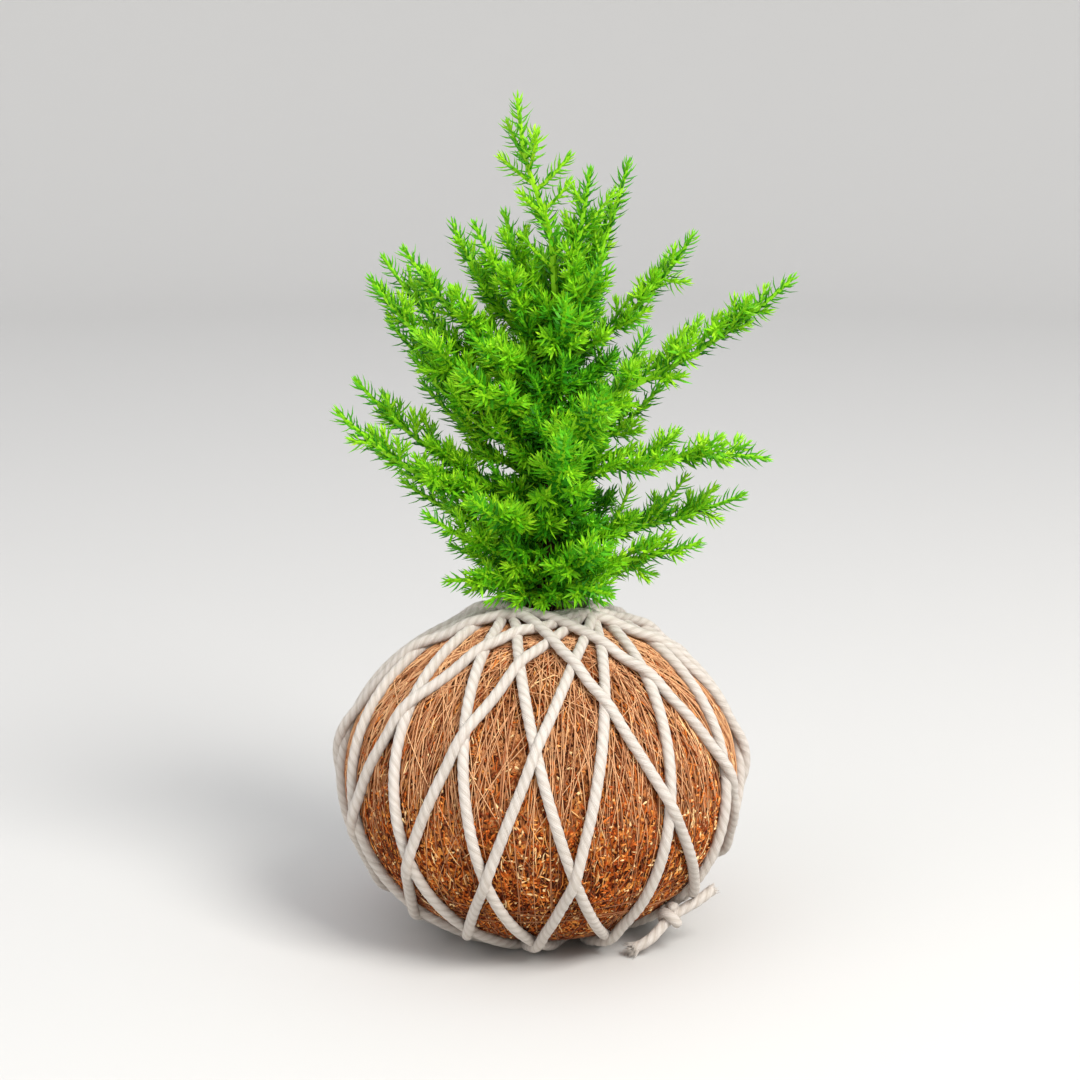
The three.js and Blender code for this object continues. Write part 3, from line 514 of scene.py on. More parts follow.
class Finish:
    """A material in the making: short ways to add its nodes."""

    def __init__(self, name, **sockets):
        self.material = bpy.data.materials.new(name)
        self.material.use_nodes = True
        self.tree = self.material.node_tree
        self.shader = self.tree.nodes["Principled BSDF"]
        for key, value in sockets.items():
            self.shader.inputs[key.replace("_", " ")].default_value = value

    def node(self, kind, inputs=None, **settings):
        """A node of a kind, with its inputs and its settings."""
        made = self.tree.nodes.new("ShaderNode" + kind)
        for key, value in settings.items():
            setattr(made, key, value)
        for key, value in (inputs or {}).items():
            self.feed(made.inputs[key], value)
        return made

    def feed(self, socket, value):
        """Links a socket to another node's, or sets its value."""
        if isinstance(value, bpy.types.NodeSocket):
            self.tree.links.new(value, socket)
        else:
            socket.default_value = value

    def place(self, scale=(1, 1, 1)):
        """Object coordinates, stretched."""
        found = self.node("TexCoord").outputs["Object"]
        return self.node("Mapping", {"Vector": found, "Scale": scale}).outputs[0]

    def noise(self, place, scale, detail=3, roughness=0.5):
        """Cloudy noise; the scale is in lumps for each metre."""
        inputs = {"Vector": place, "Scale": scale, "Detail": detail, "Roughness": roughness}
        return self.node("TexNoise", inputs).outputs[0]

    def cells(self, place, scale):
        """Small cells, each with a random tone."""
        return self.node("TexVoronoi", {"Vector": place, "Scale": scale}).outputs["Color"]

    def value(self, name):
        """A value that the mesh carries for each point."""
        return self.node("Attribute", attribute_name=name).outputs["Fac"]

    def sum(self, a, b, factor=1.0):
        """One value plus the other times a factor."""
        return self.node("Math", {0: b, 1: factor, 2: a}, operation="MULTIPLY_ADD").outputs[0]

    def ramp(self, factor, *stops):
        """Colours along a value, each at its spot, blended between the spots."""
        made = self.node("ValToRGB", {0: factor})
        elements = made.color_ramp.elements
        for spot, colour in stops[2:]:
            elements.new(spot)
        for element, (spot, colour) in zip(elements, sorted(stops, key=lambda s: s[0])):
            element.position = spot
            element.color = colour
        return made.outputs[0]

    def mixed(self, factor, a, b):
        """One colour blended into another by a factor."""
        made = self.node("Mix", data_type="RGBA", blend_type="MIX")
        for number, value in ((0, factor), (6, a), (7, b)):
            self.feed(made.inputs[number], value)
        return made.outputs[2]

    def bump(self, height, distance, strength=1.0):
        """Fine relief from a height, with its depth in metres."""
        made = self.node("Bump", {"Height": height, "Distance": distance, "Strength": strength})
        self.tree.links.new(made.outputs[0], self.shader.inputs["Normal"])

    def colour(self, value):
        """Colours the surface."""
        self.feed(self.shader.inputs["Base Color"], value)


def coir_finish():
    """Matted coconut fibre: streaks in the upper half, packed chips with a tone each in the lower,
    and painted near-black shade in the gaps between them."""
    finish = Finish("coir", Roughness=0.95, Specular_IOR_Level=0.12)
    streaks = finish.noise(finish.place((1, 1, 0.2)), 1800, 3, 0.65)
    blotches = finish.noise(finish.place(), 240, 3)
    upper = finish.ramp(
        finish.sum(streaks, blotches, 0.4),
        (0.55, srgb(76, 36, 16)),
        (0.66, srgb(138, 80, 42)),
        (0.76, srgb(182, 118, 70)),
        (0.88, srgb(214, 156, 104)),
    )
    lower = finish.ramp(
        finish.sum(finish.cells(finish.place(), 1000), blotches, 0.35),
        (0.4, srgb(70, 24, 4)),
        (0.58, srgb(134, 54, 12)),
        (0.74, srgb(194, 92, 26)),
        (0.95, srgb(230, 152, 70)),
    )
    body = finish.mixed(finish.value("low"), upper, lower)
    gaps = finish.noise(finish.place((1, 1, 0.5)), 1300, 2)
    # Painted shade: near black where the gap noise is low, for the shaded gaps between the fibres
    inside = finish.ramp(gaps, (0.36, WHITE), (0.47, BLACK))
    finish.colour(finish.mixed(inside, body, srgb(52, 20, 8)))
    finish.bump(finish.sum(streaks, gaps, 0.6), 0.0009, 0.9)
    return finish.material


def fibre_finish():
    """Single fibres and chips: each has its own tone, from dark red-brown over orange to straw."""
    finish = Finish("coir fibres", Roughness=0.8, Specular_IOR_Level=0.2)
    grain = finish.noise(finish.place(), 2500, 2)
    tone = finish.sum(finish.value("tone"), grain, 0.2)
    finish.colour(finish.ramp(
        tone,
        (0.1, srgb(66, 22, 4)),
        (0.36, srgb(138, 56, 14)),
        (0.6, srgb(202, 102, 32)),
        (0.84, srgb(228, 158, 80)),
        (0.95, srgb(240, 206, 150)),
    ))
    return finish.material


def thread_finish():
    """Thin brown thread with a little shine, uneven in tone."""
    finish = Finish("binding thread", Roughness=0.6, Specular_IOR_Level=0.3)
    tone = finish.sum(finish.value("tone"), finish.noise(finish.place(), 400, 2), 0.35)
    finish.colour(finish.ramp(
        tone,
        (0.1, srgb(118, 62, 32)),
        (0.55, srgb(190, 130, 86)),
        (0.92, srgb(228, 178, 130)),
    ))
    return finish.material


def cord_finish():
    """Soft cotton: creamy white with faint strands along its plies, and painted shade in the grooves
    between them.
    """
    finish = Finish("cotton cord", Roughness=0.95, Specular_IOR_Level=0.1, Sheen_Weight=0.15)
    sheet = finish.node("UVMap").outputs[0]
    lines = finish.node("Mapping", {"Vector": sheet, "Scale": (26, 210, 1)}).outputs[0]
    yarn = finish.noise(lines, 1.0, 3, 0.6)
    cloud = finish.noise(finish.place(), 90, 3)
    shade = finish.mixed(cloud, srgb(220, 213, 206), srgb(206, 197, 187))
    strands = finish.ramp(yarn, (0.32, GREY), (0.6, BLACK))
    shade = finish.mixed(strands, shade, srgb(178, 167, 154))
    # Painted shade in the grooves between the plies, by the groove value of each point
    shade = finish.mixed(finish.value("groove"), shade, srgb(174, 162, 148))
    finish.colour(shade)
    finish.bump(yarn, 0.0004, 0.9)
    return finish.material


def soil_finish():
    """Dark, crumbly potting soil."""
    finish = Finish("soil", Roughness=0.95, Specular_IOR_Level=0.2)
    crumbs = finish.noise(finish.place(), 900, 4, 0.7)
    finish.colour(finish.ramp(crumbs, (0.3, srgb(28, 18, 12)), (0.75, srgb(84, 58, 38))))
    finish.bump(crumbs, 0.001)
    return finish.material


def bark_finish():
    """Dark thin bark with fissures along the trunk."""
    finish = Finish("bark", Roughness=0.85, Specular_IOR_Level=0.25)
    fissures = finish.noise(finish.place((1, 1, 0.22)), 1400, 4, 0.7)
    finish.colour(finish.ramp(
        fissures,
        (0.35, srgb(34, 22, 15)),
        (0.6, srgb(82, 56, 36)),
        (0.8, srgb(122, 92, 64)),
    ))
    finish.bump(fissures, 0.0008)
    return finish.material


def leaf_finish():
    """Needles: yellow-green when young, deep green with age; their woody stems turn brown."""
    finish = Finish("needles", Roughness=0.5, Specular_IOR_Level=0.22)
    patches = finish.noise(finish.place(), 120, 2)
    age = finish.sum(finish.value("age"), patches, 0.35)
    leaf = finish.ramp(
        age,
        (0.12, srgb(172, 220, 38)),
        (0.36, srgb(138, 206, 24)),
        (0.66, srgb(84, 174, 18)),
        (1.0, srgb(44, 124, 14)),
    )
    finish.colour(finish.mixed(finish.value("wood"), leaf, srgb(96, 74, 40)))
    return finish.material


def floor_finish():
    """Plain pale grey."""
    finish = Finish("floor", Roughness=0.7, Specular_IOR_Level=0.2)
    finish.colour(FLOOR_COLOUR)
    return finish.material


# The winding of cord and thread round the ball

def turn_points(turn, angles, heights, floor):
    """Points of one turn. The ball, grown by a height, is cut by a plane; the angle is 0 at the top
    and grows towards the side 90 degrees past the lean. Near the axis, the fourth root of the sum of
    the fourth powers of radius and clearance keeps the line off the stem and the flat spot."""
    lean, top, bottom = turn
    wide = BALL_RADIUS + heights
    tall = BALL_HALF_HEIGHT + heights
    high = np.array([top / wide, np.sqrt(1 - (top / wide) ** 2)])
    low = np.array([-bottom / wide, -np.sqrt(1 - (bottom / wide) ** 2)])
    way = (high - low) / np.linalg.norm(high - low, axis=0)
    normal = np.array([way[1], -way[0]])
    offset = (normal * high).sum(0)
    reach = np.sqrt(1 - offset ** 2)
    u, w = offset * normal + reach * np.cos(angles) * way
    v = reach * np.sin(angles)
    c, s = math.cos(math.radians(lean)), math.sin(math.radians(lean))
    x, y, z = wide * (u * c - v * s), wide * (u * s + v * c), BALL_CENTRE + tall * w
    clearance = np.where(w > 0, STEM_CLEARANCE, UNDER_CLEARANCE)
    radius = np.hypot(x, y)
    pushed = (radius ** 4 + clearance ** 4) ** 0.25 / np.maximum(radius, 1e-6)
    return np.stack([x * pushed, y * pushed, np.maximum(z, floor)], axis=-1)


def eased(rise):
    """A cord comes down from what it crosses at an even slope; a short average rounds the turns."""
    step = 2 * np.pi * BALL_RADIUS / len(rise)
    sloped = np.zeros(len(rise))
    for d in range(-SLOPE_SAMPLES, SLOPE_SAMPLES + 1):
        sloped = np.maximum(sloped, np.roll(rise, -d) - CORD_SLOPE * step * abs(d))
    return (np.roll(sloped, 1) + 2 * sloped + np.roll(sloped, -1)) / 4


def stack_heights():
    """How far each turn stands off where it crosses the turns below it. The pile rises ever less:
    past a free height, the rest follows one minus an exponential."""
    angles = circle(CORD_SAMPLES)
    level = np.full(CORD_SAMPLES, CORD_LIFT + CORD_RADIUS)
    rest = [turn_points(turn, angles, level, CORD_FLOOR) for turn in CORD_TURNS]
    heights = []
    for k, line in enumerate(rest):
        most = np.zeros(CORD_SAMPLES)
        for under, height in zip(rest[:k], heights):
            gap = np.linalg.norm(line[:, None] - under[None], axis=2)
            near = gap < CORD_STACK
            over = height[None] + np.sqrt(np.where(near, CORD_STACK ** 2 - gap ** 2, 0))
            most = np.maximum(most, np.where(near, over, 0).max(axis=1))
        soft = PRESS_FREE + PRESS_MORE * (1 - np.exp(-(most - PRESS_FREE) / PRESS_EASE))
        pressed = np.where(most < PRESS_FREE, most, soft)
        heights.append(eased(pressed * smooth(STACK_FROM, STACK_FULL, line[:, 2])))
    return heights


def cord_points(heights, k, angles):
    """Points of turn k of the cord; round the underside each turn runs over into the next."""

    def at(turn, t):
        """Points of one turn, its stack heights blended between their samples."""
        spot = (t / (2 * np.pi) * CORD_SAMPLES) % CORD_SAMPLES
        i = np.floor(spot).astype(int) % CORD_SAMPLES
        f = spot - np.floor(spot)
        stack = heights[turn][i] * (1 - f) + heights[turn][(i + 1) % CORD_SAMPLES] * f
        return turn_points(CORD_TURNS[turn], t, CORD_LIFT + CORD_RADIUS + stack, CORD_FLOOR)

    points = at(k, angles)
    if k + 1 < len(CORD_TURNS):
        share = smooth(np.pi - TURN_SHIFT, np.pi + TURN_SHIFT, angles)[:, None]
        points = points * (1 - share) + at(k + 1, angles - 2 * np.pi) * share
    if k > 0:
        share = smooth(-np.pi - TURN_SHIFT, TURN_SHIFT - np.pi, angles)[:, None]
        points = at(k - 1, angles + 2 * np.pi) * (1 - share) + points * share
    return points


def on_ball(points):
    """Points moved in or out to where a cord lies on the ball."""
    off = CORD_LIFT + CORD_RADIUS + TIE_LIFT
    wide = np.hypot(points[:, 0], points[:, 1]) / (BALL_RADIUS + off)
    size = np.hypot(wide, (points[:, 2] - BALL_CENTRE) / (BALL_HALF_HEIGHT + off))[:, None]
    moved = (points - [0, 0, BALL_CENTRE]) / size + [0, 0, BALL_CENTRE]
    moved[:, 2] = np.maximum(moved[:, 2], CORD_FLOOR)
    return moved


def from_centre(points):
    """The way from the middle of the ball to each point."""
    return unit(points - [0, 0, BALL_CENTRE])


def cord_line():
    """The whole cord from the tie, through every turn in the order of winding, back to the tie."""
    heights = stack_heights()
    last = len(CORD_TURNS) - 1
    knot = np.array(KNOT, float)
    turns = []
    for k in range(last + 1):
        start = -np.pi if k else CORD_STARTS - np.pi
        stop = np.pi - CORD_ENDS if k == last else np.pi
        angles = np.linspace(start, stop, TURN_SAMPLES, endpoint=k == last)
        turns.append(cord_points(heights, k, angles))
    share = np.linspace(0, 1, TIE_STEPS, endpoint=False)[:, None]
    lead_in = on_ball(knot + (turns[0][0] - knot) * share)
    lead_out = on_ball(turns[last][-1] + (knot - turns[last][-1]) * (share + 1 / TIE_STEPS))
    line = even_steps(np.concatenate([lead_in, *turns, lead_out]), CORD_STEP)
    line = smoothed(line, CORD_SMOOTHINGS)
    line[:, 2] = np.maximum(line[:, 2], CORD_FLOOR)
    return line


def twisted(line, out, start=0.0):
    """A three-ply cord along a line. Its section's radius is full on the crest of each ply and drops
    to the grooves as the cosine of one and a half times the angle; the section turns once a lay."""
    reached = distances_along(line)
    turn = start - 2 * np.pi * reached / CORD_LAY
    groove = 1 - np.abs(np.cos(1.5 * circle(CORD_COLUMNS)))
    swell = 1 + CORD_SWELL * lumps(line, CORD_SWELL_SIZE, 3)
    radii = CORD_RADIUS * swell[:, None] * (1 - PLY_GROOVE * groove[None])
    points = swept(line, radii, CORD_COLUMNS, out, turn)
    return points, np.tile(groove, len(line)), reached


def cord_piece(name, lines, finish):
    """Lengths of twisted cord with closed ends, as one piece."""
    gathered = Parts()
    uv = []
    for number, (line, out) in enumerate(lines):
        points, groove, reached = twisted(line, out, 0.7 * number)
        points, quads, fans = capped(points, CORD_COLUMNS)
        # The groove value carries the painted shade of the grooves; the points that close the ends get
        # half
        gathered.add(points, quads, fans, groove=np.append(groove, [0.5, 0.5]) * GROOVE_SHADE)
        uv.append(grid_uv(reached, CORD_COLUMNS))
    fan_corners = sum(len(group) for group in gathered.triangles) * 3
    uv.append(np.zeros((fan_corners, 2)))
    quads = np.concatenate(gathered.quads)
    fans = np.concatenate(gathered.triangles)
    groove = np.concatenate(gathered.values["groove"])
    return piece(name, np.concatenate(gathered.points), [quads, fans], finish, "cord",
                 uv=np.concatenate(uv), groove=groove)


def spline(points, count=60):
    """A smooth line through a few points: on each stretch a cubic whose slopes are those between
    the points on either side."""
    p = np.asarray(points, float)
    slope = np.gradient(p, axis=0)
    t = np.linspace(0, len(p) - 1, count)
    i = np.minimum(t.astype(int), len(p) - 2)
    f = (t - i)[:, None]
    start = (1 + 2 * f) * (1 - f) ** 2 * p[i] + f * (1 - f) ** 2 * slope[i]
    return start + f * f * (3 - 2 * f) * p[i + 1] - f * f * (1 - f) * slope[i + 1]


def tie_lines():
    """The tie: one end of the cord runs past the crossing, and the other wraps round it in a tight
    coil whose middle moves along with the turn."""
    through = even_steps(spline([*TAIL_UP, KNOT, *TAIL_DOWN], 90), CORD_STEP)
    knot = np.array(KNOT)
    axis = unit(np.array(TAIL_DOWN[0]) - np.array(TAIL_UP[1]))
    out = across(from_centre(knot[None])[0], axis)
    side = np.cross(axis, out)
    turn = 2 * np.pi * np.linspace(-0.5, 0.5, KNOT_POINTS)[:, None] * KNOT_WRAPS
    ring = KNOT_RADIUS * (np.cos(turn) * out + np.sin(turn) * side)
    coil = knot + ring + KNOT_PITCH * turn / (2 * np.pi) * axis
    coil = even_steps(coil, CORD_STEP)
    return [(through, from_centre(through)), (coil, unit(coil - knot))]


def hairs(roots, ways, lengths, radius, curl):
    """Fine hairs: each is a three-cornered spike in three joints that bends towards its curl."""
    count = len(roots)
    side = across(np.roll(ways, 1, axis=1) + 0.01, ways)
    other = np.cross(ways, side)
    gathered = []
    for f, thick in ((0, 1), (0.5, 0.8)):
        middle = roots + lengths[:, None] * f * (ways + curl * f)
        for k in range(3):
            angle = 2 * np.pi * k / 3
            gathered.append(middle + radius * thick * (math.cos(angle) * side + math.sin(angle) * other))
    gathered.append(roots + lengths[:, None] * (ways + curl))
    points = np.stack(gathered, axis=1).reshape(-1, 3)
    shape = [(0, 1, 4), (0, 4, 3), (1, 2, 5), (1, 5, 4), (2, 0, 3), (2, 3, 5),
             (3, 4, 6), (4, 5, 6), (5, 3, 6), (0, 2, 1)]
    return points, (np.array(shape)[None] + 7 * np.arange(count)[:, None, None]).reshape(-1, 3)


def cord_fuzz(line, finish):
    """Loose cotton hairs that stand on the cord at random spots, square to it and leaning along it,
    and the frayed ends of the tails, whose hairs start in a round cloud and fan out from it."""
    rng = np.random.default_rng(8)
    spots = rng.integers(1, len(line) - 1, FUZZ_COUNT)
    way = unit(line[spots + 1] - line[spots - 1])
    out = across(from_centre(line[spots]) + rng.normal(0, 0.6, (FUZZ_COUNT, 3)), way)
    roots = line[spots] + out * CORD_RADIUS * 0.85
    ways = unit(out + way * rng.normal(0, 0.9, (FUZZ_COUNT, 1)))
    curl = rng.normal(0, 0.4, (FUZZ_COUNT, 3))
    gathered = Parts()
    grown = [hairs(roots, ways, rng.uniform(0.4, 1.3, FUZZ_COUNT), FUZZ_RADIUS, curl)]
    for before, end, longest in ((*TAIL_UP[::-1], FRAY_UP), (*TAIL_DOWN, FRAY_DOWN)):
        way = unit(np.array(end) - np.array(before))
        spread = rng.normal(0, 0.5, (FRAY_COUNT, 3))
        roots = np.array(end) - 0.8 * way + spread * 1.1
        ways = unit(way + 0.35 * spread)
        curl = rng.normal(0, 0.15, (FRAY_COUNT, 3))
        lengths = longest * rng.uniform(0.5, 1, FRAY_COUNT)
        grown.append(hairs(roots, ways, lengths, FRAY_RADIUS, curl))
    for points, triangles in grown:
        points[:, 2] = np.maximum(points[:, 2], HAIR_FLOOR)
        # The hairs get a little of the painted groove shade
        gathered.add(points, (), triangles, groove=0.1)
    return gathered.make("cord_fuzz", finish, "cord")


# The ball

def turned(profile, columns, shape):
    """A surface of revolution from a profile of radius and height that starts and ends on the axis,
    with each point then moved by a function of its place. Its two poles are single points."""
    profile = np.asarray(profile, float)
    angle = circle(columns)
    ring = np.stack([np.cos(angle), np.sin(angle)], axis=-1)
    inner = profile[1:-1]
    xy = inner[:, 0, None, None] * ring[None]
    z = np.broadcast_to(inner[:, 1, None, None], xy.shape[:2] + (1,))
    points = shape(np.concatenate([xy, z], axis=-1).reshape(-1, 3))
    poles = np.array([[0, 0, profile[0, 1]], [0, 0, profile[-1, 1]]])
    fans = end_fans(len(points), columns)
    return np.concatenate([points, poles]), grid_faces(len(inner), columns), fans


def fine_profile(corners, step):
    """A profile's points, with more of them between its corners so that no step is longer."""
    corners = np.asarray(corners, float)
    rows = [corners[:1]]
    for a, b in zip(corners[:-1], corners[1:]):
        count = max(1, int(np.ceil(np.linalg.norm(b - a) / step)))
        share = np.linspace(0, 1, count + 1)[1:, None]
        rows.append(a + (b - a) * share)
    return np.concatenate(rows)


def ball_radius(z):
    """The ball's radius at a height: its full radius times the root of one minus the square of the
    height over its middle as a share of half its height."""
    return BALL_RADIUS * np.sqrt(np.clip(1 - ((z - BALL_CENTRE) / BALL_HALF_HEIGHT) ** 2, 0, 1))


def coir_relief(points):
    """The outside of the ball stands proud by wandering upright ribs, lumps and fine bristle."""
    wide = np.hypot(points[:, 0], points[:, 1]) / BALL_RADIUS
    size = np.hypot(wide, (points[:, 2] - BALL_CENTRE) / BALL_HALF_HEIGHT)
    outside = smooth(0.955, 0.985, size) * smooth(COIR_UNDERSIDE, COIR_UNDERSIDE + 6, points[:, 2])
    angle = np.arctan2(points[:, 1], points[:, 0])
    ribs = np.sin(10 * angle + 2 * np.sin(points[:, 2] / 9))
    ribs = ribs + 0.6 * np.sin(7 * angle - points[:, 2] / 5)
    height = COIR_PROUD - 0.25 + RIB_HEIGHT * ribs
    bristle = lumps(points * [1, 1, 0.5], BRISTLE_SIZE, COIR_SEED + 1)
    height += LUMP_HEIGHT * lumps(points, LUMP_SIZE, COIR_SEED) + BRISTLE_HEIGHT * bristle
    return points + from_centre(points) * (outside * height)[:, None]


def coir_mat(finish):
    """The coir shell: flat spot, pressed underside, bulging side, mouth, and the wall of its hollow."""
    flat = ball_radius(COIR_UNDERSIDE)
    first = math.acos((BALL_CENTRE - COIR_UNDERSIDE) / BALL_HALF_HEIGHT)
    last = math.pi - math.asin(COIR_MOUTH / BALL_RADIUS)
    angles = np.linspace(first, last, COIR_ROWS)
    heights = BALL_CENTRE - BALL_HALF_HEIGHT * np.cos(angles)
    side = np.stack([BALL_RADIUS * np.sin(angles), heights], axis=1)
    underside = [
        (0, 0),
        (REST_SPOT, 0),
        (REST_SPOT + REST_SPOT_SLOPE, COIR_UNDERSIDE),
        (flat - 4, COIR_UNDERSIDE),
    ]
    across_hollow = BALL_RADIUS - COIR_WALL
    tall_hollow = BALL_HALF_HEIGHT - COIR_WALL
    angles = np.linspace(math.asin(COIR_MOUTH / across_hollow), math.pi - 0.5, 12)
    hollow = np.stack([across_hollow * np.sin(angles), BALL_CENTRE + tall_hollow * np.cos(angles)], axis=1)
    profile = np.concatenate([fine_profile(underside, 3), side, hollow, [[0, hollow[-1, 1]]]])
    points, quads, fans = turned(profile, COIR_COLUMNS, coir_relief)
    level = points[:, 2] + 7 * lumps(points, 12, 31)
    low = 1 - smooth(CHIPS_BELOW - CHIPS_FADE, CHIPS_BELOW + CHIPS_FADE, level)
    made = piece("coir_mat", points, [quads, fans], finish, "coir", low=low)
    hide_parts("coir_shell")
    return made


def ball_spots(rng, count, low, high):
    """Random spots on the ball between two heights, and the three ways there: out, up and around."""
    z = rng.uniform(low, high, count)
    angle = rng.uniform(0, 2 * np.pi, count)
    radius = ball_radius(z)
    points = np.stack([radius * np.cos(angle), radius * np.sin(angle), z], axis=-1)
    out = unit(points / [BALL_RADIUS ** 2, BALL_RADIUS ** 2, BALL_HALF_HEIGHT ** 2]
               - [0, 0, BALL_CENTRE / BALL_HALF_HEIGHT ** 2])
    around = np.stack([-np.sin(angle), np.cos(angle), np.zeros(count)], axis=-1)
    return points, out, np.cross(out, around), around


def slivers(rng, spots, slant, length, width, thick, lift, rings):
    """Slivers that lie on the ball at a slant, as points, faces and tones. A sliver is a spindle: its
    ends are points sunk into the coir, and between them it has three-cornered rings, each at a share
    of its length, on a line that bows to one side."""
    points, out, up, around = spots
    count = len(points)
    way = np.cos(slant)[:, None] * around + np.sin(slant)[:, None] * up
    side = np.cross(way, out)
    bow = length * rng.uniform(-0.12, 0.12, count)
    base = points + out * (COIR_PROUD + lift + rng.uniform(0, 0.45, (count, 1)))
    base -= out * (length ** 2 / (8 * BALL_RADIUS))[:, None]
    rows = [base - way * length[:, None] / 2 - out * 0.25]
    for share in rings:
        middle = base + way * (length * share)[:, None] + side * bow[:, None]
        middle = middle + out * (length ** 2 / 500)[:, None]
        for a, b in ((-1, -0.3), (0, 1), (1, -0.3)):
            rows.append(middle + side * (a * width)[:, None] + out * (b * thick)[:, None])
    rows.append(base + way * length[:, None] / 2 - out * 0.25)
    last = len(rows) - 1
    corners = [(a, (a + 1) % 3) for a in range(3)]
    shape = [(0, 1 + b, 1 + a) for a, b in corners]
    for r in range(len(rings) - 1):
        start = 1 + 3 * r
        shape += [(start + a, start + b, start + 3 + b) for a, b in corners]
        shape += [(start + a, start + 3 + b, start + 3 + a) for a, b in corners]
    shape += [(last - 3 + a, last - 3 + b, last) for a, b in corners]
    faces = np.array(shape)[None] + len(rows) * np.arange(count)[:, None, None]
    tone = np.clip(rng.normal(0.45, 0.3, count), 0, 1)
    return np.stack(rows, axis=1).reshape(-1, 3), faces.reshape(-1, 3), np.repeat(tone, len(rows))


def coir_fibres(finish):
    """Short fibres and chips that lie on the coir: fibres are slivers with two rings and stand mostly
    upright, and chips have one ring and lie any way. Most chips are in the lower half."""
    rng = np.random.default_rng(21)
    gathered = Parts()

    width = rng.uniform(0.09, 0.17, FIBRE_COUNT)
    slant = rng.normal(np.pi / 2, 0.4, FIBRE_COUNT)
    length = rng.gamma(3, 1.2, FIBRE_COUNT) + 1
    spots = ball_spots(rng, FIBRE_COUNT, 10, 84)
    points, faces, tone = slivers(rng, spots, slant, length, width, width, 0, (-0.2, 0.22))
    gathered.add(points, (), faces, tone=tone)

    top = CHIPS_BELOW + 40 * rng.random(CHIP_COUNT) ** 1.5
    slant = rng.uniform(0, np.pi, CHIP_COUNT)
    length = rng.gamma(5, 0.26, CHIP_COUNT) + 0.4
    width = rng.uniform(0.16, 0.42, CHIP_COUNT)
    thick = rng.uniform(0.14, 0.4, CHIP_COUNT)
    ring = rng.uniform(-0.25, 0.25, CHIP_COUNT)
    spots = ball_spots(rng, CHIP_COUNT, 5, top)
    points, faces, tone = slivers(rng, spots, slant, length, width, thick, -0.15, (ring,))
    gathered.add(points, (), faces, tone=tone)
    return gathered.make("coir_fibres", finish, "coir", smooth_faces=False)


def binding_threads(finish):
    """Thin thread in turns from pole to pole, each a plane cut a little off the axis, and a few
    slanting belts low on the ball whose height goes as the cosine of the angle round the axis. The
    turns sink into the coir towards the underside, and all the thread there is painted darker as
    shade."""
    rng = np.random.default_rng(4)
    gathered = Parts()
    angles = np.linspace(0, 2 * np.pi, THREAD_SAMPLES + 1)
    for k in range(THREAD_TURNS + len(THREAD_BELTS)):
        shade = rng.uniform(0.15, 0.9)
        height = COIR_PROUD + 0.12 + 0.5 * rng.random() + 0.12 * np.sin(angles * 9 + k)
        if k < THREAD_TURNS:
            lean = k * 180 / THREAD_TURNS * THREAD_STRIDE % 180 + rng.uniform(-1, 1)
            turn = (lean, rng.normal(0, THREAD_TOP_SPREAD), rng.normal(0, THREAD_BOTTOM_SPREAD))
            line = turn_points(turn, angles, height, THREAD_FLOOR)
            sunk = THREAD_SINKS * rng.random() * (1 - smooth(24, 58, line[:, 2]))
            line = line - from_centre(line) * sunk[:, None]
        else:
            level, slope, highest = THREAD_BELTS[k - THREAD_TURNS]
            z = level + slope * np.cos(angles - math.radians(highest))
            ring = np.stack([np.cos(angles), np.sin(angles)], axis=1)
            line = np.column_stack([ball_radius(z)[:, None] * ring, z])
            line = line + from_centre(line) * (COIR_PROUD + 0.55)
        line[-1] = line[0]
        rings = swept(line, np.full(len(line), THREAD_RADIUS), 3, from_centre(line))
        points, quads, fans = capped(rings, 3)
        # Painted shade: the thread is darker the lower it lies on the ball
        tone_with_low_shade = shade - 0.45 * (1 - smooth(20, 56, line[:, 2]))
        gathered.add(points, quads, fans, tone=np.append(np.repeat(tone_with_low_shade, 3), [shade, shade]))
    made = gathered.make("binding_threads", finish, "thread")
    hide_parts("binding_thread")
    return made


def soil_crumbs(finish):
    """Soil turned from a profile that follows the coir's hollow, heaps up in its mouth, where lumps
    make it crumbly, and goes down into the hole that the stem stands in."""

    def crumbly(points):
        """The open top moved up and down by lumps."""
        radius = np.hypot(points[:, 0], points[:, 1])
        open_top = smooth(SOIL_TOP - 4, SOIL_TOP - 1, points[:, 2])
        open_top = open_top * smooth(STEM_HOLE, STEM_HOLE + 1.5, radius)
        return points + UP * (open_top * 0.7 * lumps(points, 1.3, 9))[:, None]

    tall = BALL_HALF_HEIGHT - COIR_WALL - SOIL_GAP
    wide = BALL_RADIUS - COIR_WALL - SOIL_GAP
    angles = np.linspace(math.pi - 0.5, math.asin(COIR_MOUTH / (wide + SOIL_GAP)) + 0.03, 16)
    wall = np.stack([wide * np.sin(angles), BALL_CENTRE + tall * np.cos(angles)], axis=1)
    neck = [
        (SOIL_NECK, 81),
        (SOIL_NECK, SOIL_TOP - 2.2),
        (SOIL_NECK - 2.2, SOIL_TOP - 0.6),
        (STEM_HOLE, SOIL_TOP),
    ]
    top = fine_profile(neck, 0.5)
    hole = [(STEM_HOLE, STEM_HOLE_FLOOR), (0, STEM_HOLE_FLOOR)]
    profile = np.concatenate([[[0, wall[0, 1]]], wall, top, hole])
    points, quads, fans = turned(profile, SOIL_COLUMNS, crumbly)
    made = piece("soil_crumbs", points, [quads, fans], finish, "soil")
    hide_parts("soil_core")
    return made


# The plant

def trunk_at(z):
    """The trunk's middle and radius at a height."""
    line = np.array(TRUNK_LINE, float)
    x = np.interp(z, line[:, 2], line[:, 0])
    taper = np.clip((z - TRUNK_FOOT) / (line[-1, 2] - TRUNK_FOOT), 0, 1)
    return x, TRUNK_BASE_RADIUS + (TRUNK_TOP_RADIUS - TRUNK_BASE_RADIUS) * taper


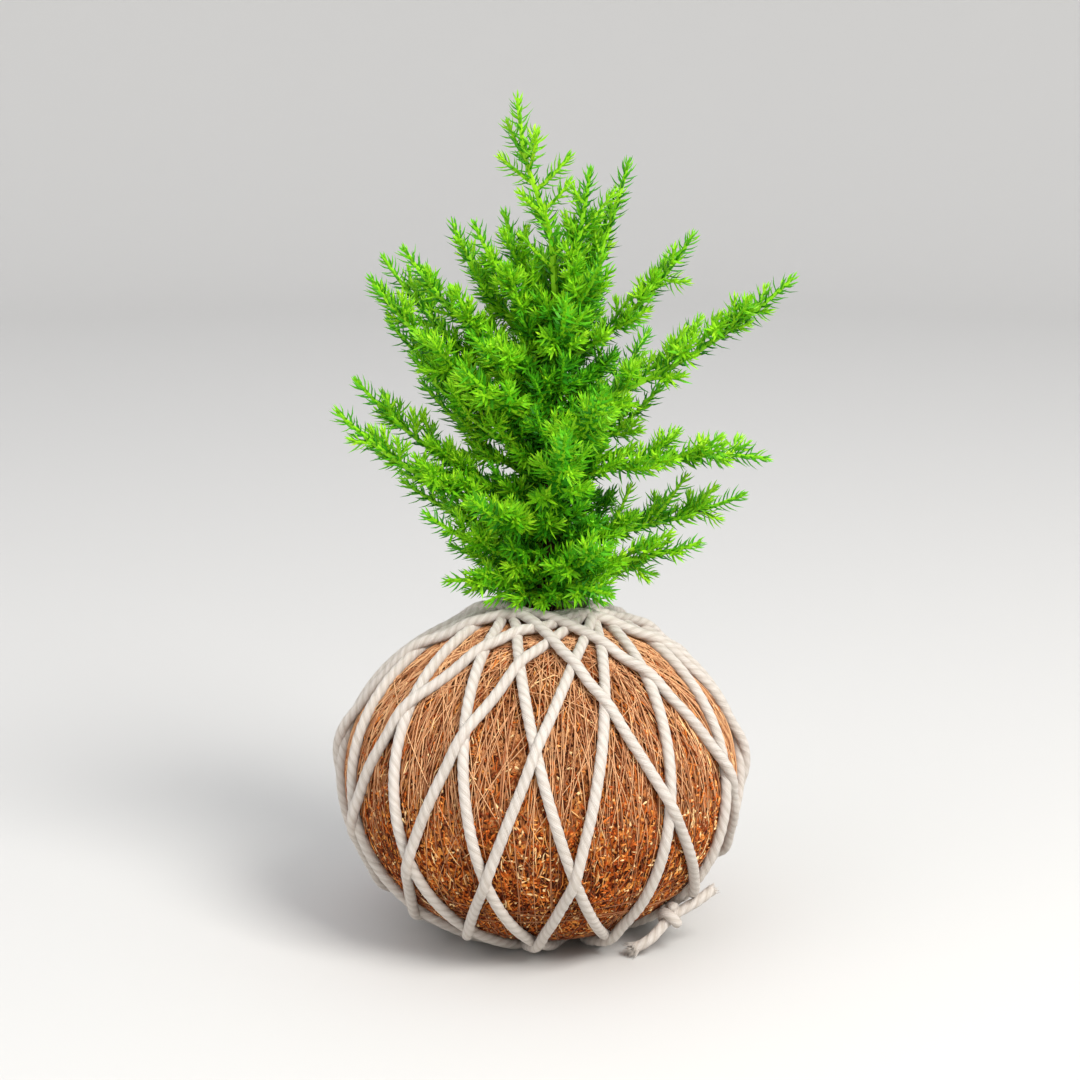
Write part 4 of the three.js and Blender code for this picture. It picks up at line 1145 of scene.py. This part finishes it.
def bark_trunk(finish):
    """The trunk: a tube whose radius carries ridges along it and lumps where limbs leave."""
    z = np.arange(TRUNK_LINE[0][2], TRUNK_TOP, TRUNK_STEP)
    x, radius = trunk_at(z)
    line = smoothed(np.stack([x, np.zeros(len(z)), z], axis=1), TRUNK_SMOOTHINGS)
    columns = TRUNK_COLUMNS
    angle = circle(columns)
    ring = np.stack([np.cos(angle), np.sin(angle), np.zeros(columns)], axis=-1)
    spots = (line[:, None] + radius[:, None, None] * ring[None]).reshape(-1, 3)
    relief = 0.14 * lumps(spots * [1, 1, 0.3], 0.9, 2) + 0.1 * lumps(spots, 4, 6)
    relief = relief.reshape(len(z), columns) * smooth(82, 88, z)[:, None]
    rings = swept(line, radius[:, None] * (1 + relief), columns, ACROSS)
    points, quads, fans = capped(rings, columns)
    made = piece("bark_trunk", points, [quads, fans], finish, "bark")
    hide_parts("trunk")
    return made


def bent(start, bend, end):
    """A limb's line: the weights of start, bend and end are the squares and double product of the
    share and its rest."""
    f = np.linspace(0, 1, 60)[:, None]
    return (1 - f) ** 2 * np.asarray(start) + 2 * f * (1 - f) * np.asarray(bend) + f ** 2 * np.asarray(end)


def limb_line(leaves, tip, arch):
    """A limb leaves the trunk at a height and bends up to its tip."""
    start = np.array([trunk_at(leaves)[0], 0, leaves])
    tip = np.array(tip, float)
    bend = start + (tip - start) * [0.6, 0.6, arch]
    return bent(start, bend, tip)


def fill_limbs():
    """Limbs of the front and back, in turn, with a reach that is longest low on the trunk."""
    draw = random_from(FILL_SEED)
    limbs = []
    for k in range(FILL_LIMBS):
        leaves = FILL_LOWEST + FILL_STEP * k * (1 - 0.004 * k)
        away = math.radians((90 if k % 2 else -90) + (draw() - 0.5) * FILL_SPREAD)
        up = min(max((leaves - FILL_LOWEST) / (FILL_STEP * FILL_LIMBS), 0), 1)
        reach = 33 + 9 * math.sin(math.pi * min(up * 1.5, 1)) - 17 * up ** 2 + 4 * (draw() - 0.5)
        rise = reach * (FILL_RISE[0] + (FILL_RISE[1] - FILL_RISE[0]) * up) * (0.8 + 0.4 * draw())
        x = trunk_at(leaves)[0]
        tip = (x + reach * math.cos(away), reach * math.sin(away), leaves + rise)
        limbs.append((leaves, tip, 0.35))
    return limbs


def direction(line, distance):
    """The way that a line goes at a distance from its start."""
    a, b = along(line, np.array([max(distance - 0.5, 0), distance + 0.5]))
    return unit(b - a)


def main_side_shoots(line, draw):
    """A limb's one or two longer side shoots, in turn left and right, shorter towards its tip."""
    length = distances_along(line)[-1]
    count = min(max(int(math.floor(length / 34 + 0.5)), 1), 2)
    shoots = []
    for i in range(count):
        f = 0.36 + 0.56 * (i + 0.3 * draw()) / count
        root = along(line, np.array([f * length]))[0]
        way = direction(line, f * length)
        sideways = unit(np.cross(way, UP)) * (1 if i % 2 else -1)
        reach = 6 + 0.27 * length * (1 - f) * (0.7 + 0.6 * draw())
        lift = 0.1 + 0.5 * draw()
        way = unit(0.8 * way + 0.62 * sideways + lift * 0.5 * UP)
        shoots.append(bent(root, root + way * reach * 0.5, root + way * reach + UP * reach * 0.16))
    return shoots


def fine_shoots(line, rng, first, step, most, bare):
    """Short shoots along a line, in turn to its two sides, rolled at random round it and leaning
    forward. They get shorter and further apart towards its tip, and the tip itself has none."""
    length = distances_along(line)[-1]
    shoots = []
    distance = first
    i = 0
    while distance < length - bare:
        root = along(line, np.array([distance]))[0]
        way = direction(line, distance)
        sideways = unit(np.cross(way, UP))
        over = np.cross(sideways, way)
        roll = (0 if i % 2 else math.pi) + rng.normal(0.35 if i % 2 else -0.35, 0.6)
        out = math.cos(roll) * sideways + math.sin(roll) * over
        lean = math.radians(rng.uniform(38, 58))
        reach = min(most, 4.2 + 0.24 * (length - distance)) * rng.uniform(0.7, 1.15)
        start = unit(math.cos(lean) * way + math.sin(lean) * out)
        end = root + start * reach * 0.55 + unit(start + 0.45 * way + 0.3 * UP) * reach * 0.45
        shoots.append(bent(root, root + start * reach * 0.5, end))
        distance += step * (1 + 0.5 * distance / length) * rng.uniform(0.8, 1.2)
        i += 1
    return shoots


def add_fine(shoots, line, rng, spacing, rank):
    """Adds the fine shoots of a line to a list of shoots."""
    for fine in fine_shoots(line, rng, *spacing):
        shoots.append((clear_of_ball(fine), *rank))


def clear_of_ball(line):
    """A line lifted wherever it would run into the cord on the ball."""
    radius = np.minimum(np.hypot(line[:, 0], line[:, 1]), BALL_RADIUS)
    level = np.sqrt(1 - (radius / (BALL_RADIUS + CORD_ROOM)) ** 2)
    top = BALL_CENTRE + (BALL_HALF_HEIGHT + CORD_ROOM) * level
    floor = np.where(radius > 7, top + SHOOT_CLEARANCE, 0)
    return np.stack([line[:, 0], line[:, 1], np.maximum(line[:, 2], floor)], axis=1)


def needle_places(line, rng, first, old):
    """Where needles stand on a shoot: whorls of three, each turned a sixth of a turn from the last.
    The distance from the tip to a whorl grows with its number and a little with the square of the
    number, so the tip is a tuft. Needles are shorter and more upright towards it."""
    length = distances_along(line)[-1]
    number = np.arange(MOST_WHORLS)
    spots = length - WHORL_STEP * (number + WHORL_SPREAD * number ** 2)
    spots = spots[spots > first]
    if not len(spots):
        return None
    base = along(line, spots)
    way = unit(along(line, np.minimum(spots + 0.4, length)) - along(line, np.maximum(spots - 0.4, 0)))
    facing = np.where(np.abs(way[:, 2:]) > 0.95, ACROSS, UP)
    normal = across(facing, way)
    side = np.cross(way, normal)
    turn = np.arange(len(spots))[:, None] * np.pi / 3 + np.arange(3)[None] * 2 * np.pi / 3
    turn = turn + rng.uniform(0, 2 * np.pi) + rng.normal(0, 0.16, turn.shape)
    out = np.cos(turn)[..., None] * normal[:, None] + np.sin(turn)[..., None] * side[:, None]
    left = (length - spots)[:, None]
    young = np.clip((left + 2.6) / 5.6, 0.46, 1)
    size = NEEDLE_LENGTH * young * rng.uniform(0.75, 1.12, turn.shape)
    lean = LEAN_AT_TIP + LEAN_PAST_TUFT * np.clip(left / TUFT_LENGTH, 0, 1)
    lean = lean + LEAN_WHEN_OLD * np.clip(left / OLD_LENGTH, 0, 1)
    lean = np.radians(lean + rng.normal(0, LEAN_SPREAD, turn.shape))
    age = np.clip(0.12 + left / OLD_LENGTH, 0, 0.55) + old + rng.normal(0, 0.1, turn.shape)
    base, way = (np.broadcast_to(value[:, None], out.shape).reshape(-1, 3) for value in (base, way))
    return base, way, out.reshape(-1, 3), size.ravel(), lean.ravel(), age.ravel()


def needle_shapes(base, way, out, size, lean):
    """Needles as slim blades: a three-cornered section at the foot and one halfway, each with two
    edges and a keel underneath, and a point. The outer half leans forward, so the needle curves."""
    side = np.cross(way, out)
    half = NEEDLE_WIDTH / 2 * np.clip(size / NEEDLE_LENGTH, 0.65, 1)[:, None]
    rings = []
    place = base + 0.2 * out
    for share, width in ((0, 0.85), (0.5, 1.0)):
        forward = np.cos(lean)[:, None] * way + np.sin(lean)[:, None] * out
        under = np.cos(lean)[:, None] * out - np.sin(lean)[:, None] * way
        place = place + forward * (size * share)[:, None]
        edge = side * half * width
        rings += [place - edge, place + under * NEEDLE_KEEL * width, place + edge]
    curved = lean - NEEDLE_CURVE
    forward = np.cos(curved)[:, None] * way + np.sin(curved)[:, None] * out
    rings.append(place + forward * (size * 0.5)[:, None])
    points = np.stack(rings, axis=1).reshape(-1, 3)
    step = 7 * np.arange(len(base))[:, None, None]
    quads = np.array([(c, (c + 1) % 3, 3 + (c + 1) % 3, 3 + c) for c in range(3)])[None] + step
    fans = np.array([(3, 4, 6), (4, 5, 6), (5, 3, 6), (0, 2, 1)])[None] + step
    return points, quads.reshape(-1, 4), fans.reshape(-1, 3)


def foliage(name, shoots, rng, finish, node=None):
    """One spray: the thin stems of its shoots and the needles on them. A shoot is a line, the radii
    of its two ends, how old it is and the distance along it where its needles start."""
    gathered = Parts()
    for line, thick, thin, old, first in shoots:
        stem = even_steps(line, 2.0)
        share = np.linspace(0, 1, len(stem))
        points, quads, fans = capped(swept(stem, thick + (thin - thick) * share, 5), 5)
        woody = np.append(np.repeat(np.clip(old * 1.6 - share * 1.4, 0, 1), 5), [0, 0])
        gathered.add(points, quads, fans, age=0.06 + 0.6 * old, wood=woody)
        places = needle_places(line, rng, first, old)
        if places is None:
            continue
        base, way, out, size, lean, age = places
        points, quads, fans = needle_shapes(base, way, out, size, lean)
        gathered.add(points, quads, fans, age=np.repeat(age, 7), wood=0)
    made = gathered.make(name, finish, "leaf", smooth_faces=False)
    if node:
        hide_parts(node)
    return made


def spray_shoots(line, sides, rng):
    """A limb's shoots: its own line, its longer side shoots, and fine ones on all of these."""
    length = distances_along(line)[-1]
    shoots = [(line, *LIMB_SHOOT, min(3.0, 0.1 * length))]
    for side in sides:
        side = clear_of_ball(side)
        shoots.append((side, *SIDE_SHOOT))
        add_fine(shoots, side, rng, SIDE_SPACING, SIDE_FINE_SHOOT)
    first = FIRST_FINE_SHARE * length
    for fine in fine_shoots(line, rng, first, FINE_SHOOT_STEP, LONGEST_FINE, BARE_TIP):
        fine = clear_of_ball(fine)
        shoots.append((fine, *FINE_SHOOT))
        if distances_along(fine)[-1] > BRANCHES_FROM:
            add_fine(shoots, fine, rng, TINY_SPACING, TINY_SHOOT)
    return shoots


def leader_shoots(line):
    """The leader's side shoots, each from a share of its length to its own tip."""
    length = distances_along(line)[-1]
    shoots = [(line, *LEADER_SHOOT)]
    for share, tip in LEADER_SHOOTS:
        root = along(line, np.array([share * length]))[0]
        way = direction(line, share * length)
        reach = np.linalg.norm(np.array(tip) - root)
        bend = root + 0.5 * (np.array(tip) - root) - 0.08 * reach * way
        shoots.append((bent(root, bend, tip), *LEADER_SIDE_SHOOT))
    return shoots


def neck_shoots(rng):
    """A ring of low shoots that spread from the foot of the trunk over the cord."""
    shoots = []
    for k in range(NECK_SHOOTS):
        angle = 2 * np.pi * (k + rng.uniform(-0.2, 0.2)) / NECK_SHOOTS
        away = np.array([math.cos(angle), math.sin(angle), 0])
        root = np.array([0, 0, rng.uniform(92, 94.5)])
        reach = rng.uniform(12, 20)
        line = bent(root, root + away * reach * 0.5 + UP * 2, root + away * reach - UP * 1.5)
        line = clear_of_ball(line)
        shoots.append((line, *NECK_SHOOT))
        add_fine(shoots, line, rng, NECK_SPACING, NECK_FINE_SHOOT)
    return shoots


def inner_shoots(rng):
    """Short shoots straight from the trunk, spaced by the golden angle and leaning up."""
    shoots = []
    for k, z in enumerate(np.linspace(INNER_LOWEST, INNER_HIGHEST, INNER_SHOOTS)):
        x, radius = trunk_at(z)
        angle = k * GOLDEN_ANGLE + rng.normal(0, 0.2)
        away = np.array([math.cos(angle), math.sin(angle), 0])
        root = np.array([x, 0, z])
        reach = rng.uniform(11, 27) * (1 - 0.35 * (z - INNER_LOWEST) / (INNER_HIGHEST - INNER_LOWEST))
        lift = rng.uniform(0.2, 0.95)
        bend = root + away * reach * 0.5 + UP * reach * 0.1
        line = clear_of_ball(bent(root, bend, root + (away + UP * lift) * reach * 0.8))
        shoots.append((line, *INNER_SHOOT, radius + 0.8))
        add_fine(shoots, line, rng, INNER_SPACING, INNER_FINE_SHOOT)
    return shoots


def extra_shoots():
    """Single shoots that stand on the limbs, each bent a little downwards."""
    shoots = []
    for root, tip in EXTRA_SHOOTS:
        middle = (np.array(root) + tip) / 2 - UP
        shoots.append((bent(root, middle, tip), *EXTRA_SHOOT))
    return shoots


def plant(finish, bark):
    """The trunk, the leader and every spray."""
    bark_trunk(bark)
    draw = random_from(SHOOT_SEED)
    leader = spline(LEADER_LINE, 120)
    root = np.array([[3.7, 0, 168.0]])
    lines = [("leader", np.concatenate([root, leader]))]
    for k, limb in enumerate(OUTLINE_LIMBS + fill_limbs()):
        lines.append((f"spray_{k + 1:02d}", limb_line(*limb)))
    for number, (node, line) in enumerate(lines):
        rng = np.random.default_rng(100 + number)
        sides = main_side_shoots(line, draw)
        shoots = leader_shoots(line) if node == "leader" else spray_shoots(line, sides, rng)
        foliage(node + "_needles", shoots, rng, finish, node)
    rng = np.random.default_rng(77)
    shoots = neck_shoots(rng) + extra_shoots() + inner_shoots(rng)
    foliage("inner_shoots", shoots, rng, finish)


# The room

def floor():
    """A round floor that rises in a quarter circle into a low wall, so that no edge shows."""
    bend = np.linspace(0, np.pi / 2, 16)[1:, None]
    cove = np.concatenate([FLOOR_REACH + COVE * np.sin(bend), COVE * (1 - np.cos(bend))], axis=1)
    level = [[0, 0], [0.3, 0], [FLOOR_REACH, 0]]
    profile = np.concatenate([level, cove, [[FLOOR_REACH + COVE, WALL_TOP]]])
    columns = FLOOR_COLUMNS
    angle = circle(columns)
    x = profile[1:, :1] * np.cos(angle)
    y = profile[1:, :1] * np.sin(angle)
    z = np.broadcast_to(profile[1:, 1:], x.shape)
    rings = np.stack([x, y, z], axis=-1).reshape(-1, 3)
    middle = len(rings)
    fan = [(middle, j, (j + 1) % columns) for j in range(columns)]
    quads = [tuple(reversed(face)) for face in grid_faces(len(profile) - 1, columns).tolist()]
    data = bpy.data.meshes.new("floor")
    data.from_pydata(rings.tolist() + [[0, 0, 0]], [], fan + [tuple(q) for q in quads])
    data.polygons.foreach_set("use_smooth", np.full(len(data.polygons), True))
    data.materials.append(floor_finish())
    made = bpy.data.objects.new("floor", data)
    bpy.context.scene.collection.objects.link(made)


def camera():
    """The camera at the photograph's angle."""
    data = bpy.data.cameras.new("camera")
    data.sensor_width = SENSOR_WIDTH
    data.lens = SENSOR_WIDTH * CAMERA_FOCAL_SHARE
    made = bpy.data.objects.new("camera", data)
    made.location = Vector(CAMERA_PLACE) * MM
    made.rotation_euler = (math.radians(90 - CAMERA_DOWN), 0, 0)
    bpy.context.scene.collection.objects.link(made)
    bpy.context.scene.camera = made


def lamp(name, place, size, power, colour):
    """A square area light that faces the middle of the object."""
    data = bpy.data.lights.new(name, "AREA")
    data.size = size
    data.energy = power
    data.color = colour
    made = bpy.data.objects.new(name, data)
    made.location = place
    made.rotation_euler = (Vector((0, 0, 0.1)) - Vector(place)).to_track_quat("-Z", "Y").to_euler()
    bpy.context.scene.collection.objects.link(made)


def lighting():
    """A pale sky all round, a soft key light from the right and a weak fill from the left."""
    world = bpy.data.worlds.new("studio")
    bpy.context.scene.world = world
    world.use_nodes = True
    background = world.node_tree.nodes["Background"]
    background.inputs["Color"].default_value = SKY_COLOUR
    background.inputs["Strength"].default_value = 1.0
    lamp("key", *KEY_LAMP)
    lamp("fill", *FILL_LAMP)
    bpy.context.scene.view_settings.view_transform = "Standard"


def main():
    """Makes the room and every piece."""
    camera()
    lighting()
    floor()
    cotton = cord_finish()
    line = cord_line()
    winding = cord_piece("cord_winding", [(line, from_centre(line))], cotton)
    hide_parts("cotton_cord")
    cord_piece("cord_tie", tie_lines(), cotton)
    cord_fuzz(line, cotton)
    soil_crumbs(soil_finish())
    coir_mat(coir_finish())
    coir_fibres(fibre_finish())
    binding_threads(thread_finish())
    plant(leaf_finish(), bark_finish())


main()
